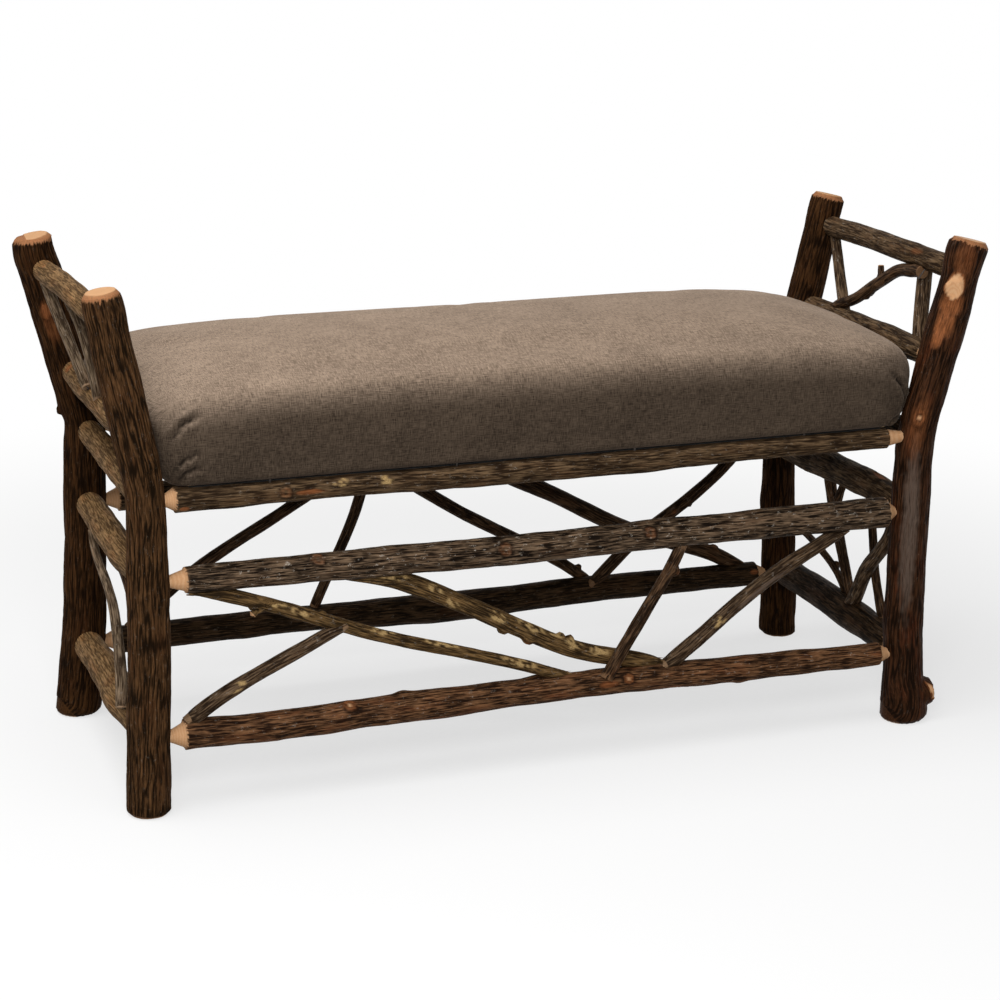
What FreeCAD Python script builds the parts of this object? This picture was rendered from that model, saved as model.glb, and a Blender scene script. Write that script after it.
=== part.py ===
"""Rustic log bench with flared posts, log rails, twig panels and an upholstered seat.

Lengths are millimetres. X runs along the bench, the front faces -Y and Z is up.
The origin is on the floor, midway between the four posts.
"""
import FreeCAD, Part

import math
import os

V = FreeCAD.Vector

# Overall sizes, post centre to post centre and floor to the middle of a sawn post top
post_spacing_long = 1219.2
post_spacing_deep = 457.2
bench_height = 762.0

# Posts: diameter at the bark, how far the top leans out along X, and the bend below the seat rails
front_left_post_diameter = 62.0
back_left_post_diameter = 66.0
front_right_post_diameter = 61.0
back_right_post_diameter = 58.0
front_left_flare = 51.8
back_left_flare = 55.0
front_right_flare = 70.0
back_right_flare = 69.3
bend_below_seat_rail = 8.0
bend_half_length = 38.0
post_top_chamfer = 7.0
post_foot_chamfer = 6.0

# Heights of the middle lines of the rails
seat_rail_height = 461.0
upper_stretcher_drop = 118.7
lower_stretcher_height = 112.0
top_rail_drop = 48.0
left_arm_rail_rise = 96.0
right_arm_rail_rise = 119.0
side_upper_rail_rise = 4.0
side_lower_rail_rise = 9.0

# Log diameters of the rails at their middle
front_seat_rail_diameter = 36.0
back_seat_rail_diameter = 38.0
front_upper_stretcher_diameter = 43.0
back_upper_stretcher_diameter = 40.0
front_lower_stretcher_diameter = 41.0
back_lower_stretcher_diameter = 43.0
top_rail_diameter = 34.0
arm_rail_diameter = 37.0
side_seat_rail_diameter = 38.0
side_upper_rail_diameter = 44.0
side_lower_rail_diameter = 49.0

# Turned tenons: three quarters of an inch, with a coned shoulder between bark and post
tenon_diameter = 19.05
tenon_web = 2.0
shoulder_length = 16.0
side_shoulder_length = 7.0

# Twig stock
thick_twig_diameter = 29.0
stout_twig_diameter = 23.0
middle_twig_diameter = 20.0
thin_twig_diameter = 16.5
fine_twig_diameter = 12.0

# Clearances: pieces that are seated on each other, and round pieces in their holes
seating_gap = 0.3
tenon_clearance = 0.15
nail_clearance = 0.1

# Nails through the twig ends, and screws up through the seat rails
nail_diameter = 1.8
nail_head_diameter = 3.6
nail_head_thickness = 0.8
nail_grip = 14.0
screw_diameter = 4.2
screw_head_diameter = 8.4
screw_head_thickness = 3.0
screw_counterbore = 6.0
screw_grip = 11.0
screws_per_rail = 4

# Seat: plywood board, foam, fabric cover tacked under the board, and a dust cover
seat_flat_rise = 14.0
board_thickness = 15.0
board_end_margin = 54.0
board_front_overhang = 8.4
cover_thickness = 1.5
dust_cover_thickness = 1.0
cover_flange_width = 40.0
dust_cover_inset = 12.0
cushion_height = 156.0
cushion_side_bulge = 18.0
cushion_end_bulge = 46.0
cushion_end_roll = 70.0
staple_crown = 11.0
staple_leg = 7.0
staple_wire = 0.9
staple_inset = 24.0
staples_along = 9
staples_across = 4

# Diameter of each post from foot to top, as shares of the height and of its nominal diameter
front_left_post_shares = [
    (0.0, 1.02), (0.14, 1.0), (0.42, 0.985), (0.53, 0.92), (0.61, 0.88), (0.69, 0.93), (0.83, 0.95),
    (0.91, 0.92),
    (1.0, 0.84),
]
back_left_post_shares = [
    (0.0, 1.07), (0.15, 1.03), (0.24, 1.01), (0.45, 0.985), (0.55, 0.97), (0.95, 0.97), (1.0, 0.93),
]
front_right_post_shares = [
    (0.0, 1.18), (0.05, 1.15), (0.12, 1.04), (0.2, 1.0), (0.45, 0.98), (0.55, 0.95), (0.75, 0.95),
    (0.81, 1.01),
    (0.92, 0.94), (1.0, 1.0),
]
back_right_post_shares = [
    (0.0, 1.08), (0.07, 1.05), (0.2, 1.0), (0.31, 1.01), (0.4, 0.94), (0.85, 1.0), (0.92, 0.94), (1.0, 0.95),
]

# How far each post bows towards the middle of the bench, as shares of the height and its diameter
front_left_bow_shares = [
    (0.0, -0.05), (0.15, -0.015), (0.34, 0.052), (0.55, 0.065), (0.68, 0.09), (0.76, 0.058), (0.9, 0.0),
    (1.0, -0.01),
]
back_left_bow_shares = [
    (0.0, -0.1), (0.065, -0.025), (0.15, 0.085), (0.24, 0.15), (0.4, 0.215), (0.55, 0.23), (0.615, 0.33),
    (0.69, 0.27),
    (0.78, 0.18), (0.87, 0.1), (0.95, 0.025), (1.0, 0.0),
]
front_right_bow_shares = [
    (0.0, 0.09), (0.05, 0.09), (0.13, 0.14), (0.2, 0.195), (0.34, 0.18), (0.51, 0.147), (0.68, 0.135),
    (0.755, 0.105),
    (0.82, 0.055), (0.9, 0.015), (1.0, 0.0),
]
back_right_bow_shares = [
    (0.0, -0.04), (0.07, 0.0), (0.2, 0.06), (0.31, 0.145), (0.45, 0.15), (0.6, 0.11), (0.85, 0.05),
    (1.0, 0.06),
]
post_cap_share = 0.8
post_rings = 20

# Cut branches on a post: share of the height, turn about the post, and shares of the post's
# radius for the branch at its root, at its cut end, and for the reach of that end
post_branch_shares = {
    "front_right_post": [
        (0.058, -0.04, 0.95, 0.58, 1.28), (0.905, -0.365, 0.66, 0.5, 1.12), (0.638, -0.35, 0.5, 0.26, 1.1),
    ],
    "back_left_post": [(0.642, 0.48, 0.5, 0.2, 1.14), (0.85, -0.33, 0.5, 0.3, 1.08)],
    "front_left_post": [(0.68, -0.21, 0.5, 0.3, 1.06)],
}

# Sizes and drift of the logs along their length, as shares of the length, diameter and radius
front_seat_rail_shares = [(0.0, 1.08), (0.3, 1.04), (0.62, 1.02), (0.7, 1.0), (1.0, 0.9)]
back_seat_rail_shares = [(0.0, 0.96), (0.4, 1.04), (1.0, 1.0)]
front_upper_stretcher_shares = [
    (0.0, 0.88), (0.18, 0.96), (0.22, 1.02), (0.45, 1.02), (0.7, 1.04), (1.0, 1.1),
]
back_upper_stretcher_shares = [(0.0, 1.05), (0.5, 1.0), (1.0, 0.94)]
front_lower_stretcher_shares = [(0.0, 1.07), (0.16, 1.04), (0.34, 1.1), (0.45, 0.98), (0.7, 1.0), (1.0, 0.88)]
back_lower_stretcher_shares = [(0.0, 1.0), (0.3, 0.96), (0.5, 1.2), (0.6, 1.06), (1.0, 0.94)]
left_top_rail_shares = [(0.0, 1.04), (0.5, 1.06), (1.0, 1.0)]
right_top_rail_shares = [(0.0, 1.02), (0.3, 1.08), (0.7, 1.0), (1.0, 0.98)]
left_arm_rail_shares = [(0.0, 1.04), (0.5, 1.0), (0.85, 1.06), (1.0, 0.96)]
right_arm_rail_shares = [(0.0, 0.98), (0.25, 1.06), (0.5, 0.98), (1.0, 0.96)]
side_seat_rail_shares = [(0.0, 0.98), (0.5, 1.02), (1.0, 1.0)]
left_upper_side_rail_shares = [(0.0, 0.98), (0.35, 1.05), (0.7, 0.98), (1.0, 0.96)]
right_upper_side_rail_shares = [(0.0, 0.98), (0.3, 1.08), (0.55, 1.04), (0.72, 1.12), (1.0, 0.92)]
left_lower_side_rail_shares = [(0.0, 0.96), (0.28, 1.12), (0.55, 1.02), (1.0, 0.92)]
right_lower_side_rail_shares = [(0.0, 0.92), (0.35, 1.08), (0.6, 1.0), (1.0, 0.98)]

front_seat_rail_drift_shares = [(0.2, 0.0, 0.1), (0.45, -0.05, -0.1), (0.62, 0.0, -0.12), (0.8, 0.05, 0.08)]
back_seat_rail_drift_shares = [(0.3, 0.1, -0.1), (0.7, -0.1, 0.1)]
front_upper_drift_shares = [(0.2, 0.05, -0.05), (0.45, 0.0, -0.12), (0.7, -0.05, 0.05)]
back_upper_drift_shares = [(0.3, -0.1, 0.1), (0.65, 0.1, -0.05)]
front_lower_drift_shares = [(0.12, 0.0, -0.12), (0.33, 0.05, 0.12), (0.6, 0.0, 0.32), (0.82, -0.05, 0.12)]
back_lower_drift_shares = [(0.25, 0.0, 0.1), (0.5, 0.05, -0.15), (0.75, 0.0, 0.1)]
left_top_drift_shares = [(0.3, 0.1, 0.3), (0.6, 0.1, 0.35), (0.85, 0.05, 0.15)]
right_top_drift_shares = [(0.35, 0.1, 0.1), (0.7, 0.0, 0.12)]
left_arm_drift_shares = [(0.3, 0.15, 0.0), (0.65, 0.2, 0.05)]
right_arm_drift_shares = [(0.3, -0.1, 0.1), (0.6, 0.0, 0.15)]
side_seat_drift_shares = [(0.35, 0.05, 0.05), (0.7, -0.05, 0.0)]
left_upper_side_drift_shares = [(0.3, 0.15, -0.05), (0.6, 0.1, 0.0)]
right_upper_side_drift_shares = [(0.3, 0.0, 0.25), (0.6, -0.05, 0.2)]
left_lower_side_drift_shares = [(0.3, 0.2, 0.12), (0.6, 0.1, 0.25)]
right_lower_side_drift_shares = [(0.3, 0.0, 0.1), (0.6, 0.1, 0.18)]

# Shoulders of the long rails at their left and right ends, as shares of the shoulder length
front_seat_shoulder_shares = (0.8, 1.5)
front_upper_shoulder_shares = (1.35, 0.9)
front_lower_shoulder_shares = (1.25, 0.8)
back_shoulder_shares = (1.2, 1.0)
side_shoulder_shares = (1.0, 1.0)
shoulder_root_share = 0.86
rail_rings = 12

# Twigs lie in the bay between two posts. Each point is the share of the way from the first post
# to the second, the share of the way up from the lower to the upper rail, and the share of the
# twig's own diameter that it stands off towards the outside of the bench.
front_twig_shares = {
    "front_twig_1": [
        (0.035, 0.99, 0.0), (0.084, 0.90, 0.0), (0.14, 0.80, 0.0), (0.2, 0.68, 0.0), (0.27, 0.535, 0.0),
        (0.4, 0.32, 0.0), (0.48, 0.18, 0.0), (0.55, 0.03, 0.0),
    ],
    "front_twig_2": [
        (0.046, 0.075, 0.1), (0.079, 0.2, 0.1), (0.11, 0.29, 0.1), (0.183, 0.475, 0.1), (0.24, 0.62, 0.1),
    ],
    "front_twig_3": [
        (0.21, 1.02, -0.1), (0.258, 0.94, -0.1), (0.297, 0.88, -0.1), (0.358, 0.74, -0.15),
        (0.435, 0.53, -0.2),
        (0.5, 0.35, -0.2), (0.57, 0.21, -0.2), (0.625, 0.135, -0.15), (0.66, 0.02, -0.1),
    ],
    "front_twig_4": [
        (0.678, 0.98, 0.1), (0.665, 0.84, 0.3), (0.637, 0.6, 0.45), (0.603, 0.345, 0.75), (0.57, 0.08, 1.0),
    ],
    "front_twig_5": [
        (0.925, 1.0, 0.0), (0.9035, 0.94, 0.0), (0.879, 0.86, 0.0), (0.824, 0.71, 0.05), (0.757, 0.49, 0.1),
        (0.72, 0.34, 0.1), (0.69, 0.22, 0.1), (0.64, 0.02, 0.1),
    ],
}
back_twig_shares = {
    "back_twig_1": [
        (0.34, 1.02, 0.0), (0.283, 0.83, 0.0), (0.228, 0.67, 0.0), (0.165, 0.48, 0.0), (0.1, 0.23, 0.0),
        (0.05, 0.0, 0.0),
    ],
    "back_twig_2": [(0.385, 1.02, 0.0), (0.368, 0.7, 0.0), (0.344, 0.42, 0.0), (0.31, 0.02, 0.0)],
    "back_twig_3": [
        (0.425, 1.02, 0.3), (0.455, 0.91, 0.3), (0.505, 0.73, 0.35), (0.562, 0.55, 0.4), (0.62, 0.38, 0.45),
        (0.67, 0.22, 0.5), (0.72, 0.0, 0.5),
    ],
    "back_twig_4": [
        (0.545, 1.04, 0.3), (0.594, 0.9, 0.4), (0.663, 0.72, 0.5), (0.738, 0.5, 0.5), (0.814, 0.33, 0.4),
        (0.9, 0.17, 0.2), (0.94, 0.04, 0.1),
    ],
    "back_twig_5": [
        (0.93, 1.0, -0.3), (0.907, 0.87, -0.4), (0.865, 0.69, -0.5), (0.82, 0.53, -0.55),
        (0.771, 0.36, -0.55),
        (0.73, 0.16, -0.5), (0.7, 0.0, -0.45),
    ],
}
left_arm_twig_shares = {
    "left_arm_twig_1": [
        (0.86, 0.96, 0.25), (0.798, 0.77, 0.25), (0.723, 0.62, 0.25), (0.65, 0.47, 0.25),
        (0.577, 0.32, 0.25), (0.5, 0.12, 0.2),
    ],
    "left_arm_twig_2": [
        (0.56, 0.98, 0.0), (0.5, 0.88, 0.0), (0.437, 0.766, 0.0), (0.395, 0.62, 0.0), (0.378, 0.44, 0.0),
        (0.386, 0.06, 0.0),
    ],
}
right_arm_twig_shares = {
    "right_arm_twig_1": [(0.92, 0.98, 0.1), (0.83, 0.58, 0.15), (0.7, 0.05, 0.2)],
    "right_arm_twig_2": [
        (0.76, 0.03, -0.5), (0.719, 0.14, -0.6), (0.614, 0.285, -0.6), (0.518, 0.48, -0.6),
        (0.429, 0.66, -0.6),
        (0.362, 0.785, -0.6), (0.284, 0.84, -0.6), (0.2, 0.86, -0.6),
    ],
    "right_arm_twig_3": [(0.255, 0.95, 0.2), (0.21, 0.51, 0.15), (0.16, 0.03, 0.1)],
}
left_side_twig_shares = {
    "left_side_twig_1": [
        (0.72, 0.94, 0.2), (0.686, 0.839, 0.2), (0.603, 0.748, 0.2), (0.463, 0.658, 0.3), (0.383, 0.569, 0.4),
        (0.32, 0.48, 0.6), (0.24, 0.37, 0.9), (0.18, 0.22, 1.2), (0.15, 0.08, 1.4),
    ],
    "left_side_twig_2": [
        (0.66, 1.0, -0.5), (0.607, 0.92, -0.6), (0.465, 0.861, -0.7), (0.33, 0.771, -0.7), (0.25, 0.62, -0.6),
        (0.19, 0.4, -0.4), (0.15, 0.04, -0.2),
    ],
}
right_side_twig_shares = {
    "right_side_twig_1": [
        (0.65, 1.02, 0.0), (0.629, 0.92, 0.0), (0.597, 0.745, 0.0), (0.53, 0.477, 0.0), (0.457, 0.217, 0.0),
        (0.41, 0.02, 0.0),
    ],
    "right_side_twig_2": [
        (0.93, 0.44, 0.0), (0.789, 0.384, 0.0), (0.649, 0.316, 0.0), (0.526, 0.213, 0.0), (0.46, 0.1, 0.0),
    ],
    "right_side_twig_3": [
        (0.09, 0.9, -0.5), (0.137, 0.692, -0.55), (0.256, 0.447, -0.6), (0.335, 0.217, -0.5),
        (0.404, 0.04, -0.4),
    ],
    "right_side_twig_4": [
        (0.345, 1.0, 0.4), (0.325, 0.749, 0.5), (0.31, 0.576, 0.55), (0.29, 0.403, 0.55), (0.24, 0.208, 0.4),
        (0.2, 0.05, 0.3),
    ],
}

# Forks and nubs: where along the twig, which way in the bay, how long and how thick, as shares
twig_stub_shares = {
    "front_twig_1": [(0.18, 0.0, -1.0, 1.0, 0.5), (0.34, 0.25, 1.0, 0.75, 0.45)],
    "front_twig_3": [(0.52, -0.5, -1.0, 0.62, 0.5), (0.68, 0.4, 1.0, 0.66, 0.42)],
    "front_twig_4": [(0.22, 1.0, -0.2, 0.8, 0.36)],
    "back_twig_3": [(0.8, 0.3, 1.0, 1.2, 0.3)],
    "back_twig_4": [(0.62, 0.5, 1.0, 0.85, 0.3)],
    "back_twig_5": [(0.36, 0.6, -1.0, 0.8, 0.4)],
    "right_arm_twig_2": [(0.56, 0.02, 1.0, 1.7, 0.5), (0.4, -0.4, -1.0, 0.95, 0.42)],
    "right_side_twig_1": [(0.36, -0.3, 1.0, 9.5, 0.72)],
    "right_side_twig_3": [(0.58, 1.0, 0.1, 1.1, 0.3)],
    "right_side_twig_4": [(0.5, 1.0, -0.1, 0.9, 0.45)],
    "left_arm_twig_1": [(0.72, 0.5, -1.0, 0.7, 0.4)],
}
twig_taper_shares = {
    "front_twig_1": (1.1, 0.85),
    "front_twig_2": (1.12, 1.0),
    "front_twig_3": (1.02, 0.9),
    "front_twig_4": (0.9, 1.0),
    "front_twig_5": (0.95, 1.05),
    "back_twig_1": (0.95, 0.95),
    "back_twig_2": (1.1, 1.0),
    "back_twig_3": (1.05, 0.95),
    "back_twig_4": (0.95, 0.9),
    "back_twig_5": (0.85, 0.95),
    "left_arm_twig_1": (1.1, 1.0),
    "left_arm_twig_2": (1.1, 1.0),
    "right_arm_twig_1": (1.05, 1.1),
    "right_arm_twig_2": (0.85, 1.05),
    "right_arm_twig_3": (1.05, 0.95),
    "left_side_twig_1": (0.7, 1.1),
    "left_side_twig_2": (1.0, 1.0),
    "right_side_twig_1": (1.2, 0.95),
    "right_side_twig_2": (1.0, 1.0),
    "right_side_twig_3": (0.95, 1.1),
    "right_side_twig_4": (1.1, 1.25),
}
twig_stock = {
    "front_twig_1": middle_twig_diameter,
    "front_twig_2": middle_twig_diameter,
    "front_twig_3": thick_twig_diameter,
    "front_twig_4": middle_twig_diameter,
    "front_twig_5": stout_twig_diameter,
    "back_twig_1": middle_twig_diameter,
    "back_twig_2": thin_twig_diameter,
    "back_twig_3": middle_twig_diameter,
    "back_twig_4": thick_twig_diameter,
    "back_twig_5": stout_twig_diameter,
    "left_arm_twig_1": thin_twig_diameter,
    "left_arm_twig_2": thin_twig_diameter,
    "right_arm_twig_1": thin_twig_diameter,
    "right_arm_twig_2": middle_twig_diameter,
    "right_arm_twig_3": stout_twig_diameter,
    "left_side_twig_1": thin_twig_diameter,
    "left_side_twig_2": thin_twig_diameter,
    "right_side_twig_1": thin_twig_diameter,
    "right_side_twig_2": fine_twig_diameter,
    "right_side_twig_3": stout_twig_diameter,
    "right_side_twig_4": fine_twig_diameter,
}
twig_rings = 11
twig_stub_root_share = 1.3

# Where a nail is looked for along a twig, and how near the two barks must be, as shares
nail_search_steps = 60
nail_near_share = 0.35
nail_far_share = 1.2

# The cushion's section, from its bottom edge over the side to the top: share of the side bulge
# kept inside the widest line, and share of the height
cushion_side_shares = [(1.0, 0.0), (0.0, 0.42), (0.22, 0.7)]
cushion_corner_shares = [(0.78, 0.84), (2.33, 0.925)]
# Towards each end the section draws in: share of the roll left, of the side bulge lost in depth,
# and of the height lost below and above
cushion_end_shares = [
    (2.4, 0.0, 0.0, 0.012), (1.0, 0.0, 0.0, 0.05), (0.7, 0.2, 0.0, 0.066), (0.5, 0.45, 0.0, 0.085),
    (0.36, 0.8, 0.04, 0.105),
    (0.22, 1.25, 0.14, 0.14), (0.09, 2.4, 0.26, 0.2), (0.0, 4.4, 0.38, 0.29),
]
cushion_middle_share = 0.5

# Heights and bays that follow from the sizes above
seat_flat_height = seat_rail_height + seat_flat_rise
upper_stretcher_height = seat_rail_height - upper_stretcher_drop
top_rail_height = bench_height - top_rail_drop
post_bend_height = seat_rail_height - bend_below_seat_rail
tenon_radius = tenon_diameter / 2
tenon_reach = tenon_radius + tenon_web
board_half_length = post_spacing_long / 2 - board_end_margin
board_half_depth = post_spacing_deep / 2 + board_front_overhang
cover_base = seat_flat_height + dust_cover_thickness
board_base = cover_base + cover_thickness
board_top = board_base + board_thickness

# Each post: its side and row, its diameter and flare, its shape and its bow
POSTS = {
    "front_left_post": (
        -1, -1, front_left_post_diameter, front_left_flare, front_left_post_shares, front_left_bow_shares,
    ),
    "back_left_post": (
        -1, 1, back_left_post_diameter, back_left_flare, back_left_post_shares, back_left_bow_shares,
    ),
    "front_right_post": (
        1, -1, front_right_post_diameter, front_right_flare, front_right_post_shares, front_right_bow_shares,
    ),
    "back_right_post": (
        1, 1, back_right_post_diameter, back_right_flare, back_right_post_shares, back_right_bow_shares,
    ),
}

# Each rail: its two posts, its height at each, its diameter, its shape and its shoulders
RAILS = {
    "front_seat_rail": (
        "front_left_post", "front_right_post", seat_rail_height, seat_rail_height, front_seat_rail_diameter,
        front_seat_rail_shares, front_seat_rail_drift_shares, shoulder_length, front_seat_shoulder_shares,
    ),
    "back_seat_rail": (
        "back_left_post", "back_right_post", seat_rail_height, seat_rail_height, back_seat_rail_diameter,
        back_seat_rail_shares, back_seat_rail_drift_shares, shoulder_length, back_shoulder_shares,
    ),
    "front_upper_stretcher": (
        "front_left_post", "front_right_post", upper_stretcher_height, upper_stretcher_height,
        front_upper_stretcher_diameter, front_upper_stretcher_shares, front_upper_drift_shares,
        shoulder_length, front_upper_shoulder_shares,
    ),
    "back_upper_stretcher": (
        "back_left_post", "back_right_post", upper_stretcher_height, upper_stretcher_height,
        back_upper_stretcher_diameter, back_upper_stretcher_shares, back_upper_drift_shares,
        shoulder_length, back_shoulder_shares,
    ),
    "front_lower_stretcher": (
        "front_left_post", "front_right_post", lower_stretcher_height, lower_stretcher_height,
        front_lower_stretcher_diameter, front_lower_stretcher_shares, front_lower_drift_shares,
        shoulder_length, front_lower_shoulder_shares,
    ),
    "back_lower_stretcher": (
        "back_left_post", "back_right_post", lower_stretcher_height, lower_stretcher_height,
        back_lower_stretcher_diameter, back_lower_stretcher_shares, back_lower_drift_shares,
        shoulder_length, back_shoulder_shares,
    ),
    "left_top_rail": (
        "front_left_post", "back_left_post", top_rail_height, top_rail_height, top_rail_diameter,
        left_top_rail_shares, left_top_drift_shares, side_shoulder_length, side_shoulder_shares,
    ),
    "right_top_rail": (
        "front_right_post", "back_right_post", top_rail_height, top_rail_height, top_rail_diameter,
        right_top_rail_shares, right_top_drift_shares, side_shoulder_length, side_shoulder_shares,
    ),
    "left_arm_rail": (
        "front_left_post", "back_left_post", seat_rail_height + left_arm_rail_rise,
        seat_rail_height + left_arm_rail_rise, arm_rail_diameter,
        left_arm_rail_shares, left_arm_drift_shares, side_shoulder_length, side_shoulder_shares,
    ),
    "right_arm_rail": (
        "front_right_post", "back_right_post", seat_rail_height + right_arm_rail_rise,
        seat_rail_height + right_arm_rail_rise, arm_rail_diameter,
        right_arm_rail_shares, right_arm_drift_shares, side_shoulder_length, side_shoulder_shares,
    ),
    "left_side_seat_rail": (
        "front_left_post", "back_left_post", seat_rail_height, seat_rail_height, side_seat_rail_diameter,
        side_seat_rail_shares, side_seat_drift_shares, side_shoulder_length, side_shoulder_shares,
    ),
    "right_side_seat_rail": (
        "front_right_post", "back_right_post", seat_rail_height, seat_rail_height, side_seat_rail_diameter,
        side_seat_rail_shares, side_seat_drift_shares, side_shoulder_length, side_shoulder_shares,
    ),
    "left_upper_side_rail": (
        "front_left_post", "back_left_post", upper_stretcher_height + side_upper_rail_rise,
        upper_stretcher_height + side_upper_rail_rise, side_upper_rail_diameter,
        left_upper_side_rail_shares, left_upper_side_drift_shares, side_shoulder_length, side_shoulder_shares,
    ),
    "right_upper_side_rail": (
        "front_right_post", "back_right_post", upper_stretcher_height + side_upper_rail_rise,
        upper_stretcher_height - side_upper_rail_rise, side_upper_rail_diameter,
        right_upper_side_rail_shares, right_upper_side_drift_shares,
        side_shoulder_length, side_shoulder_shares,
    ),
    "left_lower_side_rail": (
        "front_left_post", "back_left_post", lower_stretcher_height + side_lower_rail_rise,
        lower_stretcher_height + side_lower_rail_rise, side_lower_rail_diameter,
        left_lower_side_rail_shares, left_lower_side_drift_shares, side_shoulder_length, side_shoulder_shares,
    ),
    "right_lower_side_rail": (
        "front_right_post", "back_right_post", lower_stretcher_height,
        lower_stretcher_height + side_lower_rail_rise, side_lower_rail_diameter,
        right_lower_side_rail_shares, right_lower_side_drift_shares,
        side_shoulder_length, side_shoulder_shares,
    ),
}

# Each twig panel: its lower rail, its upper rail, the side that faces out, and its twigs
PANELS = {
    "front": ("front_lower_stretcher", "front_upper_stretcher", V(0, -1, 0), front_twig_shares),
    "back": ("back_lower_stretcher", "back_upper_stretcher", V(0, 1, 0), back_twig_shares),
    "left_arm": ("left_arm_rail", "left_top_rail", V(-1, 0, 0), left_arm_twig_shares),
    "right_arm": ("right_arm_rail", "right_top_rail", V(1, 0, 0), right_arm_twig_shares),
    "left_side": ("left_lower_side_rail", "left_upper_side_rail", V(-1, 0, 0), left_side_twig_shares),
    "right_side": ("right_lower_side_rail", "right_upper_side_rail", V(1, 0, 0), right_side_twig_shares),
}


def eased(table, share):
    """Value of a table of (share, value) rows, eased from row to row."""
    if share <= table[0][0]:
        return table[0][1]
    for (low, before), (high, after) in zip(table, table[1:]):
        if share <= high:
            t = (share - low) / (high - low)
            return before + (after - before) * t * t * (3 - 2 * t)
    return table[-1][1]


def ring(centre, along, reference, radius):
    """Round section of a log, square to the way the log runs, with its seam at the reference."""
    wire = Part.Wire([Part.makeCircle(radius)])
    turn = FreeCAD.Rotation(reference, along.cross(reference), along, "ZXY")
    wire.Placement = FreeCAD.Placement(centre, turn)
    return wire


def loft(wires):
    """Smooth solid through closed sections."""
    return Part.makeLoft(wires, True, False)


def rod(start, end, radius):
    """Straight round piece from one point to another."""
    return Part.makeCylinder(radius, (end - start).Length, start, end - start)


def cone(start, end, start_radius, end_radius):
    """Straight tapered piece from one point to another."""
    return Part.makeCone(start_radius, end_radius, (end - start).Length, start, end - start)


def largest(shape):
    """The main solid of a shape."""
    return max(shape.Solids, key=lambda solid: solid.Volume)


def carve(body, cutters):
    """The main solid that is left when each cutter in turn is taken from a body."""
    for cutter in cutters:
        if meets(body, cutter):
            body = body.cut(cutter)
    return largest(body)


def meets(first, second):
    """Whether two shapes' bounds touch."""
    return first.BoundBox.intersect(second.BoundBox)


def lean(height):
    """Share of a post's flare that is reached at a height, with the bend eased."""
    start = post_bend_height - bend_half_length
    run = bench_height - post_bend_height
    if height <= start:
        return 0.0
    if height >= post_bend_height + bend_half_length:
        return (height - post_bend_height) / run
    return (height - start) ** 2 / (4 * bend_half_length * run)


def post_line(post, height):
    """Point on the straight lines that the bays are set out from, before the post's own bow."""
    side, row, _, flare, _, _ = POSTS[post]
    return V(side * (post_spacing_long / 2 + flare * lean(height)), row * post_spacing_deep / 2, height)


def post_centre(post, height):
    """Point on a post's own middle line."""
    side, _, diameter, _, _, bow = POSTS[post]
    return post_line(post, height) - V(side * diameter * eased(bow, height / bench_height), 0, 0)


def post_radius(post, height):
    """Bark radius of a post at a height."""
    _, _, diameter, _, shares, _ = POSTS[post]
    return diameter / 2 * eased(shares, height / bench_height)


def post_direction(post, height):
    """Unit vector up along a post at a height."""
    step = post_foot_chamfer
    way = post_centre(post, height + step) - post_centre(post, height - step)
    return way.normalize()


def post_log(post, grow=0):
    """A post without its mortises, made larger by grow for cutting what meets it."""
    top = bench_height - post_top_chamfer
    outward = V(0, POSTS[post][1], 0)
    rings = []
    for index in range(post_rings):
        height = top * index / (post_rings - 1)
        along = post_direction(post, height) if index else V(0, 0, 1)
        rings.append(ring(post_centre(post, height), along, outward, post_radius(post, height) + grow))
    way = post_direction(post, top)
    tip = post_centre(post, top)
    top_radius = post_radius(post, top) + grow
    cap = cone(tip, tip + way * post_top_chamfer, top_radius, top_radius * post_cap_share)
    body = loft(rings).fuse(cap)
    foot = post_centre(post, 0)
    foot_radius = post_radius(post, 0) + grow
    wide = foot_radius + post_foot_chamfer
    collar_top = V(foot.x, foot.y, 2 * post_foot_chamfer)
    collar = rod(foot, collar_top, wide).cut(cone(foot, collar_top, foot_radius - post_foot_chamfer, wide))
    body = body.cut(collar)
    for height_share, turn_share, root_share, cut_share, reach_share in post_branch_shares.get(post, []):
        height = height_share * bench_height
        radius = post_radius(post, height)
        angle = 2 * math.pi * turn_share
        middle = post_centre(post, height)
        face = middle + V(math.cos(angle), math.sin(angle), 0) * (radius * reach_share + grow)
        body = body.fuse(cone(middle, face, radius * root_share, radius * cut_share + grow))
    return largest(body)


def rail_axis(rail):
    """The two points where a rail's middle line meets the middle lines of its posts."""
    start_post, end_post, start_height, end_height = RAILS[rail][:4]
    return post_centre(start_post, start_height), post_centre(end_post, end_height)


def rail_bark_ends(rail):
    """Start and end of the bark, and start and end of the tenons at the posts' bark."""
    start_post, end_post, start_height, end_height = RAILS[rail][:4]
    shoulder, shoulder_shares = RAILS[rail][7:9]
    start, end = rail_axis(rail)
    way = (end - start).normalize()
    root_start = start + way * (post_radius(start_post, start_height) + seating_gap)
    root_end = end - way * (post_radius(end_post, end_height) + seating_gap)
    bark_start = root_start + way * (shoulder * shoulder_shares[0])
    bark_end = root_end - way * (shoulder * shoulder_shares[1])
    return root_start, bark_start, bark_end, root_end, way


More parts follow.
